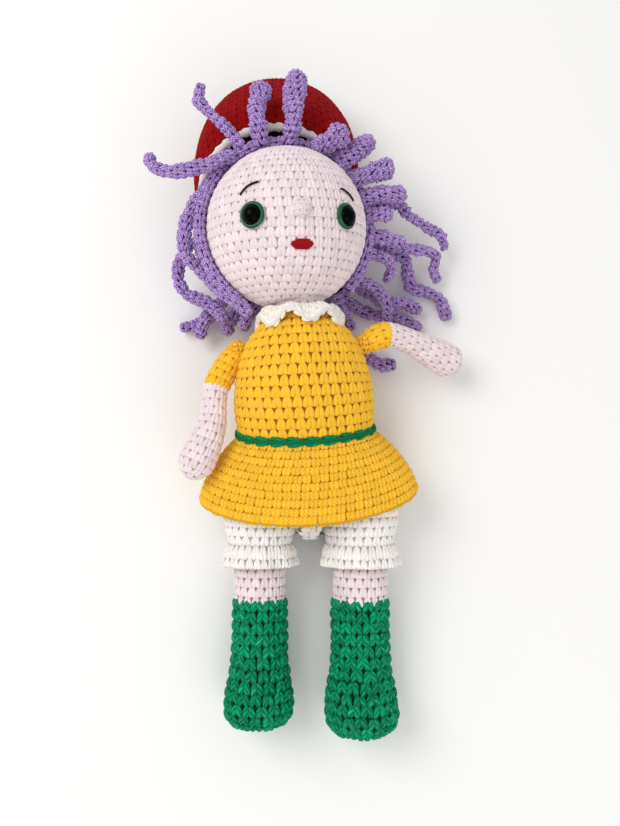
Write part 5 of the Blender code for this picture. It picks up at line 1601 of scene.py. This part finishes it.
def revolved(name, profile, matrix, material):
    """A profile of (radius, height) turned about the local z axis."""
    count = REVOLVED_SEGMENTS
    angles = round_angles(count)
    rings = [np.stack([radius * np.cos(angles), radius * np.sin(angles), np.full(count, height)], -1)
             for radius, height in profile]
    points = placed(matrix, np.array(rings).reshape(-1, 3))
    faces = []
    last = (len(profile) - 1) * count
    for low in range(0, last, count):
        for j in range(count):
            n = (j + 1) % count
            faces.append((low + j, low + count + j, low + count + n, low + n))
    faces.append(tuple(range(count)))
    faces.append(tuple(reversed(range(last, last + count))))
    mesh = bpy.data.meshes.new(name)
    mesh.from_pydata([tuple(p) for p in points], [], faces)
    mesh.shade_smooth()
    mesh.set_sharp_from_angle(angle=math.radians(45))
    mesh.materials.append(material)
    return add_object(name, mesh)


def dome(radius, height):
    """A profile from near the top of a low dome down to its rim."""
    curve = (radius ** 2 + height ** 2) / (2 * height)
    span = math.asin(min(radius / curve, 1.0))
    angles = [span * (i + DOME_START) / (DOME_STEPS + DOME_START) for i in range(DOME_STEPS + 1)]
    return [(curve * math.sin(a), height - curve * (1 - math.cos(a))) for a in angles]


class DOLL_OT_eyes(Operator):
    """Moulds the two plastic eyes with their pupils and finishes the washers"""
    bl_idname = "doll.eyes"
    bl_label = "Eyes"

    def execute(self, context):
        _, colours = settings()
        iris = plastic("iris plastic", colours.iris, 0.2, gloss=0.3, flecks=0.35)
        pupil = plastic("pupil plastic", colours.pupil, 0.1, gloss=0.04)
        washer = plastic("washer plastic", linear("C8C8C8"), 0.4)
        base = HEAD_RADIUS + GAP
        rim, top = base + EYE_FLANGE, base + EYE_RISE
        disc = [
            (0.1 * MM, top - 0.5 * MM),
            (PUPIL_RADIUS - 0.2 * MM, top - 0.4 * MM),
            (PUPIL_RADIUS + 0.05 * MM, top),
            (PUPIL_RADIUS + 0.35 * MM, top + 0.02 * MM),
            (EYE_RADIUS - 0.45 * MM, rim + 0.35 * MM),
            (EYE_RADIUS - 0.12 * MM, rim + 0.08 * MM),
            (EYE_RADIUS, rim - 0.25 * MM),
            (EYE_RADIUS - 0.2 * MM, base),
            (EYE_STEM_RADIUS, base - 0.1 * MM),
            (EYE_STEM_RADIUS, base - EYE_STEM_LENGTH),
        ]
        cup = dome(PUPIL_RADIUS - PUPIL_EASE, PUPIL_RISE - PUPIL_SUNK)
        cup = [(radius, top - PUPIL_SUNK + height) for radius, height in cup]
        cup.append((PUPIL_RADIUS - PUPIL_EASE, top - 0.35 * MM))
        for side, name in ((-1, "left"), (1, "right")):
            at = face_frame(side * EYE_ANGLE, EYE_ELEVATION)
            finish_piece(revolved(name + "_eye_disc", disc, at, iris), "head_and_hair",
                         name + "_eye")
            finish_piece(revolved(name + "_pupil_dome", cup, at, pupil), "head_and_hair",
                         name + "_pupil")
            solid = frame["nodes"][name + "_eye_washer"]
            solid.data.materials.clear()
            solid.data.materials.append(washer)
        return {"FINISHED"}


def on_face(azimuth, elevation, reach):
    """Points over the face at angles in radians and a distance from the head's centre."""
    azimuth, elevation = np.asarray(azimuth, float), np.asarray(elevation, float)
    out = np.stack([np.sin(azimuth) * np.cos(elevation), np.sin(elevation),
                    np.cos(azimuth) * np.cos(elevation)], -1)
    return placed(HEAD, out * np.asarray(reach)[..., None])


class DOLL_OT_face(Operator):
    """Sews the mouth in satin stitch and the two brows"""
    bl_idname = "doll.face"
    bl_label = "Mouth and brows"

    def execute(self, context):
        _, colours = settings()
        work = Yarnwork("mouth_satin_stitches")
        across = np.linspace(-1, 1, 15)
        reach = HEAD_RADIUS + 0.55 * MM - 0.9 * MM * np.abs(across) ** 6
        for k in range(MOUTH_THREADS):
            up = (k - (MOUTH_THREADS - 1) / 2) / ((MOUTH_THREADS - 1) / 2)
            half = MOUTH_HALF_WIDTH * (1 - 0.36 * abs(up) ** 1.4)
            half *= 1 + 0.05 * math.sin(k * 2.4 + 1.0)
            height = up * MOUTH_HALF_HEIGHT * 0.8 * (1 - 0.1 * across ** 2)
            points = on_face(half * across / HEAD_RADIUS, MOUTH_ELEVATION + height / HEAD_RADIUS, reach)
            work.strand(points, MOUTH_THREAD_RADIUS, flat=0.9)
        # Painted shade in the grooves between the plies of the thread
        red = yarn("mouth thread", colours.lip, painted_shade_share=0.5, flecks=0.1, plies=2.0)
        work.build(red, "head_and_hair", "lip_yarn", "mouth")

        # Painted shade in the grooves between the plies of the thread
        black = yarn("brow thread", colours.brow, painted_shade_share=0.8, flecks=0.1, plies=2.0, sheen=0.1)
        for name, places in BROW_DEGREES.items():
            azimuth, elevation = np.radians(smooth(places, 8)).T
            reach = np.full(len(azimuth), HEAD_RADIUS + GAP + BROW_RADIUS)
            reach[0] -= BROW_END_SUNK
            reach[-1] -= BROW_END_SUNK
            work = Yarnwork(name + "_thread")
            work.strand(on_face(azimuth, elevation, reach), BROW_RADIUS * 0.85)
            work.build(black, "head_and_hair", "brow_thread", name)
        return {"FINISHED"}


class DOLL_OT_hair(Operator):
    """Works the wig cap, its rolled hairline and the curls"""
    bl_idname = "doll.hair"
    bl_label = "Hair"

    def execute(self, context):
        sizes, colours = settings()
        # Painted shade: the dark purple tints between the stitches and in the grooves between the plies
        # stand for shade
        lilac = yarn("curl yarn", colours.lilac, painted_shade_tint="3C1C66", painted_groove_tint="5E3C94", fleck=1.6,
                     flecks=0.7, plies=6.0, unevenness=0.22, sheen=0.12, depth=3.0)
        self.cap(sizes, lilac)
        for number, (name, (root, tip, shares)) in enumerate(CURL_SHARES.items()):
            rings = self.curl(number, root * CURL_RADIUS, tip * CURL_RADIUS, shares)
            work_piece(name + "_strip", rings, sizes.curl_stitch, sizes.curl_row, lilac,
                       ("head_and_hair", "lilac_yarn", name), kind=SMALL, lean=0.45, least=3, loose=2.0)
        return {"FINISHED"}

    @staticmethod
    def cap(sizes, material):
        work = Yarnwork("wig_cap_stitches")
        outer = HEAD_RADIUS + CAP_GAP + CAP_THICKNESS
        x, y = ring_shares()
        rings = []
        for a in np.linspace(0.02, CAP_EDGE_ANGLE, 50):
            across = outer * math.sin(a)
            rings.append(np.hstack([across * x, across * y, np.full_like(x, -outer * math.cos(a))]))
        work.crochet(Surface(placed(HEAD, rings)), sizes.curl_stitch, CAP_ROW, kind=FLAT, keep=nape_keep,
                     closed=False, out=0.3 * MM)
        roll = HEAD_RADIUS + CAP_GAP + HAIRLINE_ROLL
        angles = np.arange(COLUMNS + 1) * 2 * math.pi / COLUMNS
        loop = np.stack([roll * np.cos(angles), roll * np.sin(angles), np.zeros(len(angles))], -1)
        loop = placed(HEAD, loop)
        loop = loop[nape_keep(loop)]
        start = int(np.linalg.norm(np.diff(loop, axis=0), axis=1).argmax()) + 1
        loop = np.roll(loop, -start, axis=0)
        tube = tube_rings(Route(loop[::2]), lambda d: np.full(len(d), HAIRLINE_ROLL + 0.2 * MM), 1.5 * MM)
        work.crochet(Surface(tube), ROLL_STITCH, ROLL_ROW, kind=SMALL, lean=0.5, least=3)
        work.build(material, "head_and_hair", "lilac_yarn", "wig_cap")

    @staticmethod
    def curl(number, root, tip, shares):
        route = Route(placed(HAIR, np.array(shares) * HEAD_RADIUS))

        def radius(distance):
            swell = 1 + CURL_SWELL * np.sin(distance / MM * CURL_SWELLS_PER_MM + number)
            return (root + (tip - root) * (distance / route.length)) * swell

        turn = CURL_TWIST_PER_MM / MM * (1 if number % 2 else -1)
        return tube_rings(route, radius, squash=CURL_SQUASH, turn=turn)


def hat_rings():
    """Rings of the hat from its rim to its crown."""
    table = np.column_stack([np.linspace(0, 1, len(HAT_SHARES)), HAT_SHARES])
    floor_z = -HEAD_CENTRE.z - FLOOR_CUT
    found = []
    for at in np.linspace(0, 1, 40):
        back_y, front_y, front_z, half = between(table, at)
        back = np.array([HAT_OFFSET_X, HAT_RADIUS * back_y, floor_z])
        front = np.array([HAT_OFFSET_X, HAT_RADIUS * front_y, HAT_RADIUS * front_z])
        across = front - back
        found.append(((back + front) / 2, unit(across), HAT_RADIUS * half, np.linalg.norm(across) / 2))
    centre, up, width, depth = found[-1]
    tip = np.array([HAT_OFFSET_X, HAT_RADIUS * HAT_CROWN_SHARE, -HEAD_CENTRE.z + HAT_CROWN_LIFT])
    for angle in np.linspace(0.15, math.pi / 2 * 0.98, 12):
        shrink, move = math.cos(angle), math.sin(angle)
        found.append((centre + (tip - centre) * move, up, width * shrink, depth * shrink))
    return placed(HAIR, [ring(c, (1, 0, 0), u, w, d, BACK_FLATNESS) for c, u, w, d in found])


class DOLL_OT_hat(Operator):
    """Works the hat, inside and out, and the cream band at its rim"""
    bl_idname = "doll.hat"
    bl_label = "Hat"

    def execute(self, context):
        sizes, colours = settings()
        work = Yarnwork("hat_stitches")
        outer = Surface(hat_rings())
        work.crochet(outer, sizes.hat_stitch, sizes.hat_row, kind=FLAT, lean=0.12, closed=False)
        work.lining(outer, HAT_THICKNESS, sizes.hat_stitch, sizes.hat_row)
        # Painted shade between the stitches and in the grooves between the plies
        red = yarn("hat yarn", colours.hat, painted_shade_share=0.4, groove_shade_share=0.8, flecks=0.1, sheen=0.0)
        work.build(red, "knit_hat", "hat_yarn", "hat")

        rim = outer.grid[0] - outer.normal[0] * HAT_THICKNESS / 2
        away = unit(outer.grid[0] - outer.grid[3])
        rim = rim + away * (HAT_BAND_RADIUS + GAP)
        rim[:, 2] = np.maximum(rim[:, 2], HAT_BAND_RADIUS + GAP)
        work = Yarnwork("hat_band_chain")
        work.chain(Route(rim, closed=True), HAT_BAND_LINK, HAT_BAND_WIDTH,
                   nearest(rim, unit(away + outer.normal[0])), 0.38)
        work.build(cream_yarn("band yarn"), "knit_hat", "cream_yarn", "hat_band")
        return {"FINISHED"}


STEPS = (
    DOLL_OT_stage,
    DOLL_OT_bodice,
    DOLL_OT_skirt,
    DOLL_OT_belt,
    DOLL_OT_collar,
    DOLL_OT_hips,
    DOLL_OT_legs,
    DOLL_OT_boots,
    DOLL_OT_arms,
    DOLL_OT_head,
    DOLL_OT_eyes,
    DOLL_OT_face,
    DOLL_OT_hair,
    DOLL_OT_hat,
)


class DOLL_PT_panel(Panel):
    """The doll's sizes, colours and pieces"""
    bl_idname = "DOLL_PT_panel"
    bl_label = "Crocheted doll"
    bl_space_type = "VIEW_3D"
    bl_region_type = "UI"
    bl_category = "Doll"

    def draw(self, context):
        layout = self.layout
        for title, group in (("Sizes", context.scene.doll_sizes), ("Colours", context.scene.doll_colours)):
            box = layout.box()
            box.label(text=title)
            for name in group.__annotations__:
                box.prop(group, name)
        for step in STEPS:
            layout.operator(step.bl_idname)


CLASSES = (DollSizes, DollColours, *STEPS, DOLL_PT_panel)


def register():
    for one in CLASSES:
        bpy.utils.register_class(one)
    bpy.types.Scene.doll_sizes = PointerProperty(type=DollSizes)
    bpy.types.Scene.doll_colours = PointerProperty(type=DollColours)


def unregister():
    del bpy.types.Scene.doll_sizes
    del bpy.types.Scene.doll_colours
    for one in reversed(CLASSES):
        bpy.utils.unregister_class(one)


def main():
    register()
    for step in STEPS:
        group, name = step.bl_idname.split(".")
        getattr(getattr(bpy.ops, group), name)()


if __name__ == "__main__":
    main()
